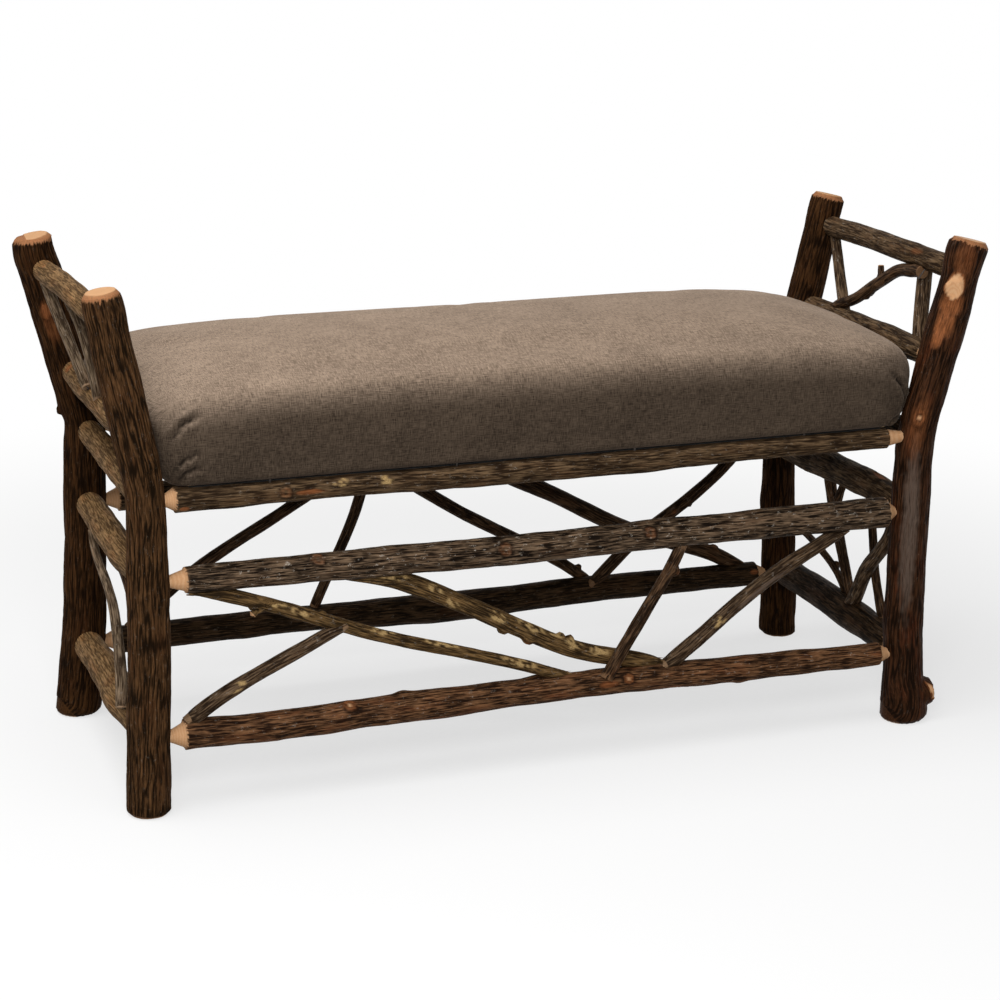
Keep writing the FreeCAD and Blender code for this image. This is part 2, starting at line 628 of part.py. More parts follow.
def rail_place(rail, share):
    """Middle point and radius of a rail's log at a share of its bark length."""
    diameter, shares, drift = RAILS[rail][4:7]
    _, bark_start, bark_end, _, way = rail_bark_ends(rail)
    radius = diameter / 2 * eased(shares, share)
    up = V(0, 0, 1)
    side = up.cross(way)
    sideways = eased([(0, 0)] + [(s, a) for s, a, _ in drift] + [(1, 0)], share)
    upward = eased([(0, 0)] + [(s, b) for s, _, b in drift] + [(1, 0)], share)
    middle = bark_start + (bark_end - bark_start) * share
    return middle + side * (sideways * diameter / 2) + up * (upward * diameter / 2), radius


def rail_log(rail, grow=0):
    """The bark-covered length of a rail."""
    _, _, _, _, way = rail_bark_ends(rail)
    rings = []
    for index in range(rail_rings):
        middle, radius = rail_place(rail, index / (rail_rings - 1))
        rings.append(ring(middle, way, V(0, 0, 1), radius + grow))
    return loft(rings)


def rail_tenons(rail):
    """The two tenons of a rail, from its shoulders into its posts."""
    root_start, _, _, root_end, way = rail_bark_ends(rail)
    start, end = rail_axis(rail)
    inner_start = start + way * tenon_reach
    inner_end = end - way * tenon_reach
    return rod(inner_start, root_start, tenon_radius), rod(root_end, inner_end, tenon_radius)


def rail_mortises(rail):
    """The room that a rail's two tenons need in its posts."""
    _, bark_start, bark_end, _, way = rail_bark_ends(rail)
    start, end = rail_axis(rail)
    inner_start = start + way * (tenon_reach - tenon_clearance)
    inner_end = end - way * (tenon_reach - tenon_clearance)
    radius = tenon_radius + tenon_clearance
    return rod(inner_start, bark_start, radius), rod(bark_end, inner_end, radius)


def rail_shoulders(rail, grow=0):
    """The two coned shoulders of a rail, between its bark and its tenons."""
    root_start, bark_start, bark_end, root_end, _ = rail_bark_ends(rail)
    start_radius = rail_place(rail, 0)[1] * shoulder_root_share
    end_radius = rail_place(rail, 1)[1] * shoulder_root_share
    return (
        cone(root_start, bark_start, tenon_radius + grow, start_radius + grow),
        cone(bark_end, root_end, end_radius + grow, tenon_radius + grow),
    )


def make_rail(rail, cutters):
    """A whole rail: log, coned shoulders and tenons, less its nail and screw holes."""
    body = rail_log(rail).fuse(list(rail_shoulders(rail) + rail_tenons(rail)))
    return carve(body, cutters)


def make_post(post):
    """A whole post with a mortise for each rail that enters it."""
    cutters = []
    for rail, row in RAILS.items():
        first, second = rail_mortises(rail)
        if row[0] == post:
            cutters.append(first)
        if row[1] == post:
            cutters.append(second)
    return carve(post_log(post), cutters)


def bay_line(rail):
    """The two ends of a rail's straight setting-out line."""
    start_post, end_post, start_height, end_height = RAILS[rail][:4]
    return post_line(start_post, start_height), post_line(end_post, end_height)


def twig_path(panel, name):
    """Middle line of a twig as a smooth curve through its measured points."""
    lower, upper, outside, twigs = PANELS[panel]
    low_start, low_end = bay_line(lower)
    high_start, high_end = bay_line(upper)
    points = []
    for along, rise, out in twigs[name]:
        low = low_start + (low_end - low_start) * along
        high = high_start + (high_end - high_start) * along
        points.append(low + (high - low) * rise + outside * (out * twig_stock[name]))
    curve = Part.BSplineCurve()
    curve.interpolate(points)
    return curve


def curve_place(curve, share):
    """Point and unit direction of a curve at a share of its parameter range."""
    at = curve.FirstParameter + (curve.LastParameter - curve.FirstParameter) * share
    return curve.value(at), curve.tangent(at)[0]


def twig_radius(name, share):
    """Radius of a twig at a share of its length."""
    first, last = twig_taper_shares[name]
    return twig_stock[name] / 2 * (first + (last - first) * share)


def twig_log(panel, name, grow=0):
    """A twig before its ends are coped, with its forks and nubs."""
    outside = PANELS[panel][2]
    curve = twig_path(panel, name)
    rings = []
    for index in range(twig_rings):
        share = index / (twig_rings - 1)
        middle, way = curve_place(curve, share)
        rings.append(ring(middle, way, outside, twig_radius(name, share) + grow))
    body = loft(rings)
    lower = PANELS[panel][0]
    start, end = rail_axis(lower)
    bay = (end - start).normalize()
    for share, along, rise, reach, thickness in twig_stub_shares.get(name, []):
        middle, _ = curve_place(curve, share)
        way = (bay * along + V(0, 0, 1) * rise).normalize()
        root = twig_radius(name, share)
        tip = middle + way * (root + root * reach)
        stub_root = root * thickness * twig_stub_root_share + grow
        body = body.fuse(cone(middle, tip, stub_root, root * thickness + grow))
    return body


def nail(point, target, radius, rail_radius):
    """A nail from a twig's far side towards a rail's middle line, and the hole it makes."""
    way = (target - point).normalize()
    head = point - way * radius
    depth = radius + (target - point).Length - rail_radius + nail_grip
    tip = head + way * depth
    under_head = head + way * nail_head_thickness
    shank = rod(under_head, tip, nail_diameter / 2)
    whole = shank.fuse(rod(head, under_head, nail_head_diameter / 2))
    hole = rod(under_head, tip + way * nail_clearance, nail_diameter / 2 + nail_clearance)
    recess_radius = nail_head_diameter / 2 + nail_clearance
    recess = rod(head - way * radius, under_head + way * nail_clearance, recess_radius)
    return largest(whole), hole.fuse(recess)


def nearest_on_rail(rail, point):
    """Middle point and radius of a rail's log closest to a point."""
    _, bark_start, bark_end, _, way = rail_bark_ends(rail)
    share = (point - bark_start).dot(way) / (bark_end - bark_start).Length
    share = min(max(share, 0.0), 1.0)
    return rail_place(rail, share)


def twig_nail(panel, name, at_end):
    """The nail at one end of a twig, with its hole and the rail it goes into, if it meets one."""
    curve = twig_path(panel, name)
    lower, upper = PANELS[panel][:2]
    for step in range(nail_search_steps // 2):
        share = 1 - step / nail_search_steps if at_end else step / nail_search_steps
        point, _ = curve_place(curve, share)
        radius = twig_radius(name, share)
        for rail in (lower, upper):
            middle, rail_radius = nearest_on_rail(rail, point)
            distance = (point - middle).Length
            if rail_radius + radius * nail_near_share < distance < rail_radius + radius * nail_far_share:
                return nail(point, middle, radius, rail_radius) + (rail,)
    return None


def box_between(low, high):
    """Straight block between two corners."""
    size = high - low
    return Part.makeBox(size.x, size.y, size.z, low)


def make_twigs():
    """All twigs coped onto the rails, and the nails that hold each panel."""
    twigs = {}
    nails = {}
    rail_holes = {rail: [] for rail in RAILS}
    grown_rails = {}
    grown_posts = {post: post_log(post, seating_gap) for post in POSTS}
    for panel, (lower, upper, _, shares) in PANELS.items():
        for rail in (lower, upper):
            grown_rails[rail] = (rail_log(rail, seating_gap),) + rail_shoulders(rail, seating_gap)
        panel_nails = []
        placed = []
        for name in shares:
            body = twig_log(panel, name)
            cutters = list(grown_rails[lower] + grown_rails[upper]) + list(grown_posts.values()) + placed
            for at_end in (False, True):
                found = twig_nail(panel, name, at_end)
                if found:
                    panel_nails.append(found[0])
                    cutters.append(found[1])
                    rail_holes[found[2]].append(found[1])
            twigs[name] = carve(body, cutters)
            placed.append(twig_log(panel, name, seating_gap))
        nails[panel] = panel_nails
    return twigs, nails, rail_holes


def cushion_section(x, half_depth, low, high):
    """Section of the cushion at a place along the bench: flat below, bulged sides, crowned top."""
    height = high - low
    points = [V(x, half_depth - cushion_side_bulge * a, low + height * b) for a, b in cushion_side_shares]
    points += [V(x, half_depth - cushion_side_bulge * a, low + height * b) for a, b in cushion_corner_shares]
    mirrored = [V(x, -p.y, p.z) for p in points]
    edges = [
        Part.makeLine(mirrored[0], points[0]),
        Part.Arc(points[0], points[1], points[2]).toShape(),
        Part.Arc(points[2], points[3], points[4]).toShape(),
        Part.Arc(points[4], V(x, 0, high), mirrored[4]).toShape(),
        Part.Arc(mirrored[4], mirrored[3], mirrored[2]).toShape(),
        Part.Arc(mirrored[2], mirrored[1], mirrored[0]).toShape(),
    ]
    return Part.Wire(edges)


def cushion_form(inset):
    """The cushion's outer form, or the room inside it when inset by the cover's thickness."""
    end = board_half_length + cushion_end_bulge
    half_depth = board_half_depth + cushion_side_bulge
    rows = [(end - cushion_end_roll * row[0] - inset, row[1], row[2], row[3]) for row in cushion_end_shares]
    rows.insert(0, (end * cushion_middle_share, 0.0, 0.0, 0.0))
    stations = [(-x, a, b, c) for x, a, b, c in reversed(rows)] + [(0.0, 0.0, 0.0, 0.0)] + rows
    sections = []
    for x, depth_loss, low_loss, high_loss in stations:
        low = cover_base + inset + cushion_height * low_loss
        high = cover_base - inset + cushion_height * (1 - high_loss)
        sections.append(cushion_section(x, half_depth - inset - cushion_side_bulge * depth_loss, low, high))
    return Part.makeLoft(sections, True, True)


def staple_places():
    """Middle of each staple under the board, and whether it lies along the bench."""
    places = []
    reach = board_half_length - staple_inset
    depth = board_half_depth - staple_inset
    for index in range(staples_along):
        x = -reach + 2 * reach * (index + 0.5) / staples_along
        places += [(V(x, -depth, cover_base), True), (V(x, depth, cover_base), True)]
    for index in range(staples_across):
        y = -depth + 2 * depth * (index + 0.5) / staples_across
        places += [(V(-reach, y, cover_base), False), (V(reach, y, cover_base), False)]
    return places


def make_staple(place, along_bench, grow=0):
    """One staple: a crown against the cover's flange and two legs up into the board."""
    half = staple_crown / 2 + grow
    thick = staple_wire / 2 + grow
    size = V(half, thick, 0) if along_bench else V(thick, half, 0)
    leg_offset = staple_crown / 2 - staple_wire / 2
    leg_way = V(leg_offset, 0, 0) if along_bench else V(0, leg_offset, 0)
    crown_low = place - size - V(0, 0, staple_wire + grow)
    crown = box_between(crown_low, place + size)
    legs = []
    for sign in (-1, 1):
        foot = place + leg_way * sign
        low = foot - V(thick, thick, staple_wire)
        legs.append(box_between(low, foot + V(thick, thick, staple_leg + grow)))
    return largest(crown.fuse(legs))


def screw_places():
    """Middle of each seat screw along the two seat rails."""
    places = []
    for rail in ("front_seat_rail", "back_seat_rail"):
        for index in range(screws_per_rail):
            share = (index + 0.5) / screws_per_rail
            middle, radius = rail_place(rail, share)
            places.append((rail, middle, radius))
    return places


def make_screw(middle, radius, grow=0):
    """A seat screw from its counterbore under the rail up into the board."""
    head_low = middle.z - radius + screw_counterbore
    tip = board_base + screw_grip
    neck = head_low + screw_head_thickness
    head_foot = middle.z - 2 * radius if grow else head_low
    head = rod(V(middle.x, middle.y, head_foot), V(middle.x, middle.y, neck), screw_head_diameter / 2 + grow)
    shank = rod(V(middle.x, middle.y, neck), V(middle.x, middle.y, tip + grow), screw_diameter / 2 + grow)
    return largest(head.fuse(shank))


def make_seat(parts, rail_holes):
    """Board, foam, cover, dust cover and their fasteners, with the holes they need."""
    outer = carve(cushion_form(0), [post_log(post, seating_gap) for post in POSTS])
    foam_gap = seating_gap + cover_thickness
    inner = carve(cushion_form(cover_thickness), [post_log(post, foam_gap) for post in POSTS])
    staples = [make_staple(place, along) for place, along in staple_places()]
    holes = [make_staple(place, along, nail_clearance) for place, along in staple_places()]
    screws = []
    for rail, middle, radius in screw_places():
        screws.append(make_screw(middle, radius))
        hole = make_screw(middle, radius, nail_clearance)
        holes.append(hole)
        rail_holes[rail].append(hole)
    board = box_between(
        V(-board_half_length + seating_gap, -board_half_depth + seating_gap, board_base),
        V(board_half_length - seating_gap, board_half_depth - seating_gap, board_top),
    )
    foam_room = inner.cut(box_between(
        V(-post_spacing_long, -post_spacing_deep, cover_base - cushion_height),
        V(post_spacing_long, post_spacing_deep, board_top),
    ))
    window_length = board_half_length - cover_flange_width
    window_depth = board_half_depth - cover_flange_width
    window = box_between(
        V(-window_length, -window_depth, cover_base - cover_thickness),
        V(window_length, window_depth, board_base + cover_thickness),
    )
    dust_half_length = board_half_length - dust_cover_inset
    dust_half_depth = board_half_depth - dust_cover_inset
    dust_low = V(-dust_half_length, -dust_half_depth, seat_flat_height)
    dust_high = V(dust_half_length, dust_half_depth, cover_base)
    fastener_holes = Part.makeCompound(holes)
    parts["seat_board"] = carve(board, [fastener_holes])
    parts["seat_foam"] = largest(foam_room)
    parts["seat_cover"] = carve(outer, [inner, window, fastener_holes])
    parts["dust_cover"] = carve(box_between(dust_low, dust_high), [fastener_holes])
    parts["seat_screws"] = Part.makeCompound(screws)
    parts["cover_staples"] = Part.makeCompound(staples)
    flat_low = V(-post_spacing_long, -post_spacing_deep, seat_flat_height)
    flat_high = V(post_spacing_long, post_spacing_deep, bench_height)
    flat = box_between(flat_low, flat_high)
    for rail in ("front_seat_rail", "back_seat_rail"):
        rail_holes[rail].append(flat)


def main():
    """Build every piece and write one file for each."""
    os.makedirs("parts", exist_ok=True)
    parts = {}
    twigs, nails, rail_holes = make_twigs()
    make_seat(parts, rail_holes)
    for post in POSTS:
        parts[post] = make_post(post)
    for rail in RAILS:
        parts[rail] = make_rail(rail, rail_holes[rail])
    parts.update(twigs)
    for panel, panel_nails in nails.items():
        parts[panel + "_twig_nails"] = Part.makeCompound(panel_nails)
    for name, shape in parts.items():
        shape.exportStep(os.path.join("parts", name + ".step"))
        print(name, len(shape.Solids), "solids,", round(shape.Volume), "cubic mm, valid", shape.isValid())


main()
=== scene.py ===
"""Looks of the rustic log bench: bark skins, sawn wood, upholstery, fasteners, stage and camera.

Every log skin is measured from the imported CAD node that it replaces, and gets its bark as real relief.
Lengths are metres unless a name ends in _mm. X runs along the bench, the front faces -Y and Z is up.
"""

import math

import bmesh
import bpy
import numpy as np
from bpy.props import FloatProperty, FloatVectorProperty, IntProperty, PointerProperty
from bpy.types import Operator, Panel, PropertyGroup
from mathutils import Matrix, Vector
from mathutils.bvhtree import BVHTree


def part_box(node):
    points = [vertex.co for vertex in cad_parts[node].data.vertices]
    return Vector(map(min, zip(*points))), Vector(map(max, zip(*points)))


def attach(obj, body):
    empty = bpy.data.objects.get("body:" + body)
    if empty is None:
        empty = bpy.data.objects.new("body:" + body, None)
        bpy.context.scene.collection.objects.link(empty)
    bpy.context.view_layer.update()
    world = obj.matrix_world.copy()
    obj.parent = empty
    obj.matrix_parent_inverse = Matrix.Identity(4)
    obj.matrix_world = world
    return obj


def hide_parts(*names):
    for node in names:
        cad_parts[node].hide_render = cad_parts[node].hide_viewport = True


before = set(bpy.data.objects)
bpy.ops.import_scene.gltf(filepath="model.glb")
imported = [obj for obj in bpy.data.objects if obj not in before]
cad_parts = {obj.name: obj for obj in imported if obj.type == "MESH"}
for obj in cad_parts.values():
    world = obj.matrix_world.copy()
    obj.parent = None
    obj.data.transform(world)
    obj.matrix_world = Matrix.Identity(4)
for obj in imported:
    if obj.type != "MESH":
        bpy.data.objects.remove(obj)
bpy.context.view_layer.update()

bl_info = {
    "name": "Rustic log bench",
    "version": (1, 0, 0),
    "blender": (4, 5, 0),
    "location": "3D View > Sidebar > Log bench",
    "description": "Dresses a packed log bench with bark, sawn wood, tweed and fasteners",
    "category": "Object",
}

MM = 0.001
FULL_TURN = 2.0 * math.pi

# The photograph is a square of this many pixels. The camera's place and turn were found from the
# posts, rails and feet in it.
picture_size = 1000.0
picture_focal_length = 2749.372
camera_place = Vector((-1.452585, -3.842176, 1.479052))
camera_tilt = 0.268
camera_heading = 0.363
camera_roll = 0.010
sensor_width_mm = 36.0

# Logs by the part of the bench that they belong to
POSTS = ["front_left_post", "back_left_post", "front_right_post", "back_right_post"]
LONG_RAILS = [
    row + rail
    for row in ("front", "back")
    for rail in ("_seat_rail", "_upper_stretcher", "_lower_stretcher")
]
SIDE_RAILS = [
    side + rail
    for side in ("left", "right")
    for rail in ("_top_rail", "_arm_rail", "_side_seat_rail", "_upper_side_rail", "_lower_side_rail")
]
TWIG_COUNTS = {
    "front_twig": 5, "back_twig": 5, "left_arm_twig": 2, "right_arm_twig": 3, "left_side_twig": 2,
    "right_side_twig": 4,
}
TWIGS = {
    panel: [f"{panel}_{number}" for number in range(1, count + 1)] for panel, count in TWIG_COUNTS.items()
}
FRONT_TWIGS = TWIGS["front_twig"]
BACK_TWIGS = TWIGS["back_twig"]
END_TWIGS = [
    twig
    for panel in ("left_arm_twig", "right_arm_twig", "left_side_twig", "right_side_twig")
    for twig in TWIGS[panel]
]

# Barks: dark of the furrows, light of the ridges, a second cast in patches, roughness and flecks.
BARKS = {
    "ridged_bark": ((0.011, 0.0055, 0.0022), (0.132, 0.063, 0.025), (0.074, 0.028, 0.010), 0.66, 0.12),
    "dark_post_bark": ((0.009, 0.0038, 0.0014), (0.078, 0.033, 0.011), (0.045, 0.015, 0.005), 0.66, 0.06),
    "glossy_bark": ((0.009, 0.0036, 0.0014), (0.078, 0.031, 0.013), (0.100, 0.026, 0.010), 0.42, 0.08),
    "grey_rail_bark": ((0.008, 0.0045, 0.0025), (0.275, 0.180, 0.110), (0.080, 0.038, 0.018), 0.48, 0.90),
    "red_rail_bark": ((0.016, 0.0070, 0.0035), (0.280, 0.136, 0.063), (0.170, 0.050, 0.018), 0.52, 0.35),
    "dark_rail_bark": ((0.007, 0.0038, 0.0017), (0.090, 0.051, 0.025), (0.066, 0.026, 0.010), 0.52, 0.15),
    "brown_rail_bark": ((0.022, 0.0120, 0.0060), (0.200, 0.125, 0.066), (0.150, 0.075, 0.034), 0.55, 0.35),
    # Partly painted light: the olive bark is made lighter for the light that falls on the left end from the
    # left and below.
    "olive_rail_bark": ((0.080, 0.0440, 0.0190), (0.390, 0.230, 0.100), (0.330, 0.140, 0.045), 0.62, 0.10),
    "grey_twig_bark": ((0.022, 0.0120, 0.0062), (0.220, 0.140, 0.080), (0.120, 0.054, 0.024), 0.44, 0.40),
    "brown_twig_bark": ((0.014, 0.0070, 0.0034), (0.160, 0.088, 0.045), (0.130, 0.048, 0.018), 0.44, 0.20),
    "pale_twig_bark": ((0.050, 0.0320, 0.0190), (0.370, 0.265, 0.170), (0.200, 0.110, 0.060), 0.58, 0.35),
    "mottled_twig_bark": ((0.026, 0.0150, 0.0065), (0.260, 0.152, 0.060), (0.290, 0.160, 0.058), 0.58, 0.30),
}

# The logs that wear another bark than their group's own
BARK_WEARERS = {
    "dark_post_bark": ["back_left_post", "back_right_post"],
    "glossy_bark": ["front_right_post"],
    "grey_rail_bark": ["front_upper_stretcher"],
    "red_rail_bark": ["front_lower_stretcher"],
    "brown_rail_bark": [
        "front_seat_rail", "back_upper_stretcher", "right_top_rail", "right_arm_rail",
        "right_upper_side_rail",
    ],
    # The left end's rails: olive bark, made lighter as painted light.
    "olive_rail_bark": [rail for rail in SIDE_RAILS if rail.startswith("left")],
    "mottled_twig_bark": ["front_twig_1", "front_twig_3"],
    "grey_twig_bark": [
        "front_twig_2", "front_twig_5", "right_arm_twig_1", "right_arm_twig_3", "right_side_twig_3",
    ],
    "pale_twig_bark": ["left_arm_twig_1", "left_arm_twig_2", "left_side_twig_1"],
}
LOG_BARKS = {log: bark for bark, logs in BARK_WEARERS.items() for log in logs}

# Each group of logs: its logs, how high and how wide its bark's ridges are as shares of a post's, its
# bark, its material slot and how many marks are put on a log's hidden side.
LOG_GROUPS = {
    "posts": (POSTS, 1.0, 1.0, "ridged_bark", "post_bark", 2),
    "long_rails": (LONG_RAILS, 0.42, 0.7, "dark_rail_bark", "rail_bark", 3),
    "side_rails": (SIDE_RAILS, 0.42, 0.7, "dark_rail_bark", "rail_bark", 1),
    "front_twigs": (FRONT_TWIGS, 0.30, 0.55, "brown_twig_bark", "twig_bark", 1),
    "back_twigs": (BACK_TWIGS, 0.30, 0.55, "brown_twig_bark", "twig_bark", 1),
    "end_twigs": (END_TWIGS, 0.30, 0.55, "brown_twig_bark", "twig_bark", 1),
}

# Marks seen in the photograph: kind, the pixel it is at, and its half sizes in mm round and along
# the log. A sawn mark is a cut branch, an eye is a knot with a pale heart, a knot has only its rings,
# a scar has lost its bark, a stain is reddish bark, a pale mark is a painted highlight laid on as
# smooth grey bark, a bump is a swelling and a spur is the stump of a small branch.
LOG_MARKS = {
    "front_right_post": [
        ("sawn", 955.5, 285, 12.5, 19),
        ("scar", 951, 304, 19, 24),
        ("scar", 945, 322, 16, 24),
        ("scar", 938, 336, 9, 20),
        ("eye", 919, 418, 9, 11),
        ("stain", 918, 428, 16, 50),
        ("stain", 965, 262, 16, 40),
        # Painted highlight: a long pale mark down the middle of the post, where it would shine.
        ("pale", 910, 530, 15, 150),
        ("sawn", 932.5, 690, 2.4, 9),
    ],
    "back_left_post": [("scar", 46, 312, 9, 14), ("stain", 52, 325, 14, 30), ("bump", 59, 408, 10, 14)],
    "front_left_post": [("bump", 148, 466, 6, 8)],
    "front_upper_stretcher": [("knot", 317, 560, 9, 9), ("knot", 505, 550, 9, 9), ("knot", 650, 533, 8, 8)],
    "front_lower_stretcher": [
        ("eye", 348.6, 705.6, 9, 9),
        ("bump", 401, 690, 10, 12),
        ("bump", 279, 737, 10, 12),
        ("bump", 536, 672, 8, 12),
        ("bump", 740, 690, 7, 10),
        ("scar", 610, 684, 5, 16),
        ("eye", 629, 679, 7, 7),
        ("scar", 674, 688, 5, 18),
    ],
    "front_seat_rail": [
        ("scar", 184, 509, 4, 8),
        ("knot", 285, 493, 7, 8),
        ("scar", 310, 492, 4, 22),
        ("lichen", 340, 482, 6, 10),
        ("lichen", 385, 480, 6, 8),
    ],
    "front_twig_1": [
        ("lichen", 277, 605, 7, 16),
        ("lichen", 302, 612, 7, 16),
        ("bump", 313, 613, 7, 8),
        ("lichen", 380, 630, 7, 26),
        ("lichen", 440, 643, 7, 34),
        ("lichen", 520, 662, 7, 30),
    ],
    "front_twig_2": [("lichen", 240, 687, 6, 12)],
    "front_twig_3": [
        ("lichen", 391, 577, 9, 22),
        ("lichen", 436, 590, 8, 12),
        ("lichen", 449, 603, 8, 14),
        ("lichen", 499, 617, 8, 14),
        ("lichen", 531, 625, 12, 24),
        ("lichen", 556, 634, 10, 14),
        ("lichen", 573, 643, 10, 14),
        ("lichen", 598, 651, 9, 16),
        ("spur", 528, 641, 6, 9),
        ("spur", 571, 635, 5, 6),
    ],
    "front_twig_4": [("spur", 677, 572, 5, 7)],
    # The pale mark on this twig is a painted highlight along it.
    "front_twig_5": [("lichen", 720, 622, 9, 10), ("pale", 760, 590, 4, 60)],
    "back_twig_3": [("spur", 580, 565, 4, 6)],
    "back_twig_4": [("spur", 714, 548, 5, 9)],
    "back_twig_5": [("spur", 673, 512, 5, 8)],
    "back_lower_stretcher": [("bump", 455, 600, 12, 22), ("scar", 755, 572, 6, 8)],
    "right_side_twig_2": [("spur", 862, 550, 4, 6)],
    "right_upper_side_rail": [("scar", 880, 476, 6, 22)],
    "right_arm_twig_2": [("bump", 873, 296, 6, 7)],
    "right_top_rail": [("stain", 917, 251, 6, 16)],
    "left_top_rail": [("scar", 44, 266, 4, 5)],
    "left_arm_rail": [("scar", 68, 368, 8, 12)],
}

# Folds of the cover at its corners: their pixels in the photograph, and their depth and half width
COVER_CREASES = [
    ([(196, 415), (182, 425), (168, 445)], 0.0040, 0.0038),
    ([(176, 484), (186, 474), (204, 466)], 0.0040, 0.0045),
    ([(172, 474), (184, 462), (198, 452)], 0.0030, 0.0040),
    ([(894, 374), (903, 384), (907, 398), (902, 410)], 0.0045, 0.0036),
    ([(886, 428), (893, 420), (900, 414)], 0.0030, 0.0036),
]

# Surfaces of the CAD nodes that have been measured
measured_nodes = {}

# The rings of points on a log's end face, as shares of its radius
END_SHARES = np.array([0.985, 0.955, 0.92, 0.87, 0.8, 0.7, 0.58, 0.44, 0.28, 0.12])

# How far beyond the last ring a log's end face is looked for
end_reach = 0.08


def length_setting(name, description, default, least, most):
    """A length in metres that a user may change."""
    return FloatProperty(
        name=name, description=description, default=default, min=least, max=most, unit="LENGTH",
    )


def number_setting(name, description, default, least=0.0, most=1.0):
    """A plain number that a user may change."""
    return FloatProperty(name=name, description=description, default=default, min=least, max=most)


def power_setting(name, description, default):
    """A lamp's power in watts."""
    return FloatProperty(
        name=name, description=description, default=default, min=0.0, max=2000.0, unit="POWER",
    )


def colour_setting(name, description, default):
    """A colour that a user may change."""
    return FloatVectorProperty(
        name=name, description=description, default=default, min=0.0, max=1.0, subtype="COLOR",
    )


class BarkSizes(PropertyGroup):
    """Sizes of the bark relief and of the mesh that carries it."""

    ridge_height: length_setting(
        "Ridge height", "Height of a post's bark ridges over their furrows", 0.0016, 0.0, 0.005)
    ridge_width: length_setting(
        "Ridge width", "Width of one bark ridge, round the log", 0.0058, 0.002, 0.03)
    ridge_run: length_setting(
        "Ridge run", "How far a bark ridge runs before it wanders, along the log", 0.085, 0.01, 0.3)
    lump_height: length_setting(
        "Lump height", "How far a log swells and dips under its bark", 0.0016, 0.0, 0.004)
    mesh_round: length_setting(
        "Mesh round the log", "Width of a face of the bark mesh, round the log", 0.00115, 0.0008, 0.01)
    mesh_along: length_setting(
        "Mesh along the log", "Length of a face of the bark mesh, along the log", 0.0045, 0.001, 0.02)
    bark_edge: length_setting(
        "Bark edge", "How far the bark's edge wanders where the wood is cut bare", 0.0035, 0.0, 0.01)
    rail_bark_edge: length_setting(
        "Rail bark edge", "The same at the turned shoulders of the rails", 0.0012, 0.0, 0.01)


class WoodColours(PropertyGroup):
    """Colours of the wood that shows where bark is missing."""

    sawn: colour_setting("Sawn wood", "Pale end grain of a sawn top or shoulder", (0.64, 0.38, 0.205))
    inner_bark: colour_setting(
        "Inner bark", "Orange layer under the bark, in scars and round cut ends", (0.34, 0.118, 0.042))
    lichen: colour_setting("Lichen", "Dry lichen on the twigs", (0.45, 0.300, 0.130))
    flecks: colour_setting("Pale flecks", "Silvery scratches and flecks on the bark", (0.50, 0.44, 0.37))
    # Painted highlight: this pale colour is laid on the pale marks, where the bark would shine.
    pale: colour_setting("Pale bark", "Smooth grey bark that catches the light", (0.118, 0.082, 0.062))


class SeatLooks(PropertyGroup):
    """Sizes and colours of the upholstered seat."""

    voxel: length_setting(
        "Cloth mesh", "Size of a face of the cushion's mesh while it is inflated", 0.0110, 0.004, 0.02)
    swell_cap: length_setting(
        "Swell cap", "The most that a point of the cover may move while it swells", 0.014, 0.0, 0.03)
    depth_share: number_setting(
        "Depth share", "Share of the swelling that is kept to the front and back", 0.5)
    rise_share: number_setting("Rise share", "Share of the swelling that is kept upwards", 0.12)
    sink_share: number_setting("Sink share", "Share that is kept where the cloth is drawn in", 0.15)
    end_bulge: length_setting(
        "End bulge", "How far the cushion's ends bulge at half height", 0.012, 0.0, 0.02)
    post_gap: length_setting(
        "Gap to the posts", "The cloth stays this far off the measured posts, for their bark",
        0.003, 0.0, 0.02)
    shoulder_rounds: IntProperty(
        name="Shoulder rounds", description="How many times the cushion's upper edges are eased",
        default=36, min=0, max=80,
    )
    foam_inset: length_setting(
        "Foam inset", "How far the foam lies inside its CAD form, to stay under the cover",
        0.010, 0.0, 0.02)
    board_inset: length_setting(
        "Board inset", "How far the board's edge lies inside the folded cloth", 0.008, 0.0, 0.01)
    flange: length_setting(
        "Flange", "Width of the cloth that is tacked under the board", 0.040, 0.01, 0.1)
    cloth_thickness: length_setting("Cloth thickness", "Thickness of the tweed", 0.0012, 0.0005, 0.003)
    thread_density: number_setting(
        "Thread density", "How fine the threads are, in noise cells for each metre",
        1500.0, 200.0, 4000.0)
    # Painted light: this power and the yarns on top make the cushion's upward faces lighter, as if lit from
    # above.
    painted_light_power: number_setting(
        "Fade power", "How fast the faded colour ends where the cushion turns down", 1.0, 0.5, 12.0)
    dark_yarn: colour_setting("Dark yarn", "Dark threads of the tweed", (0.025, 0.0165, 0.0108))
    light_yarn: colour_setting("Light yarn", "Light threads of the tweed", (0.104, 0.074, 0.051))
    # Painted light: lighter yarns for the faces that are lit from above.
    painted_lit_dark_yarn: colour_setting(
        "Dark yarn on top", "Dark threads where light has faded the seat's top", (0.142, 0.101, 0.072))
    painted_lit_light_yarn: colour_setting(
        "Light yarn on top", "Light threads where light has faded the seat's top", (0.445, 0.330, 0.241))


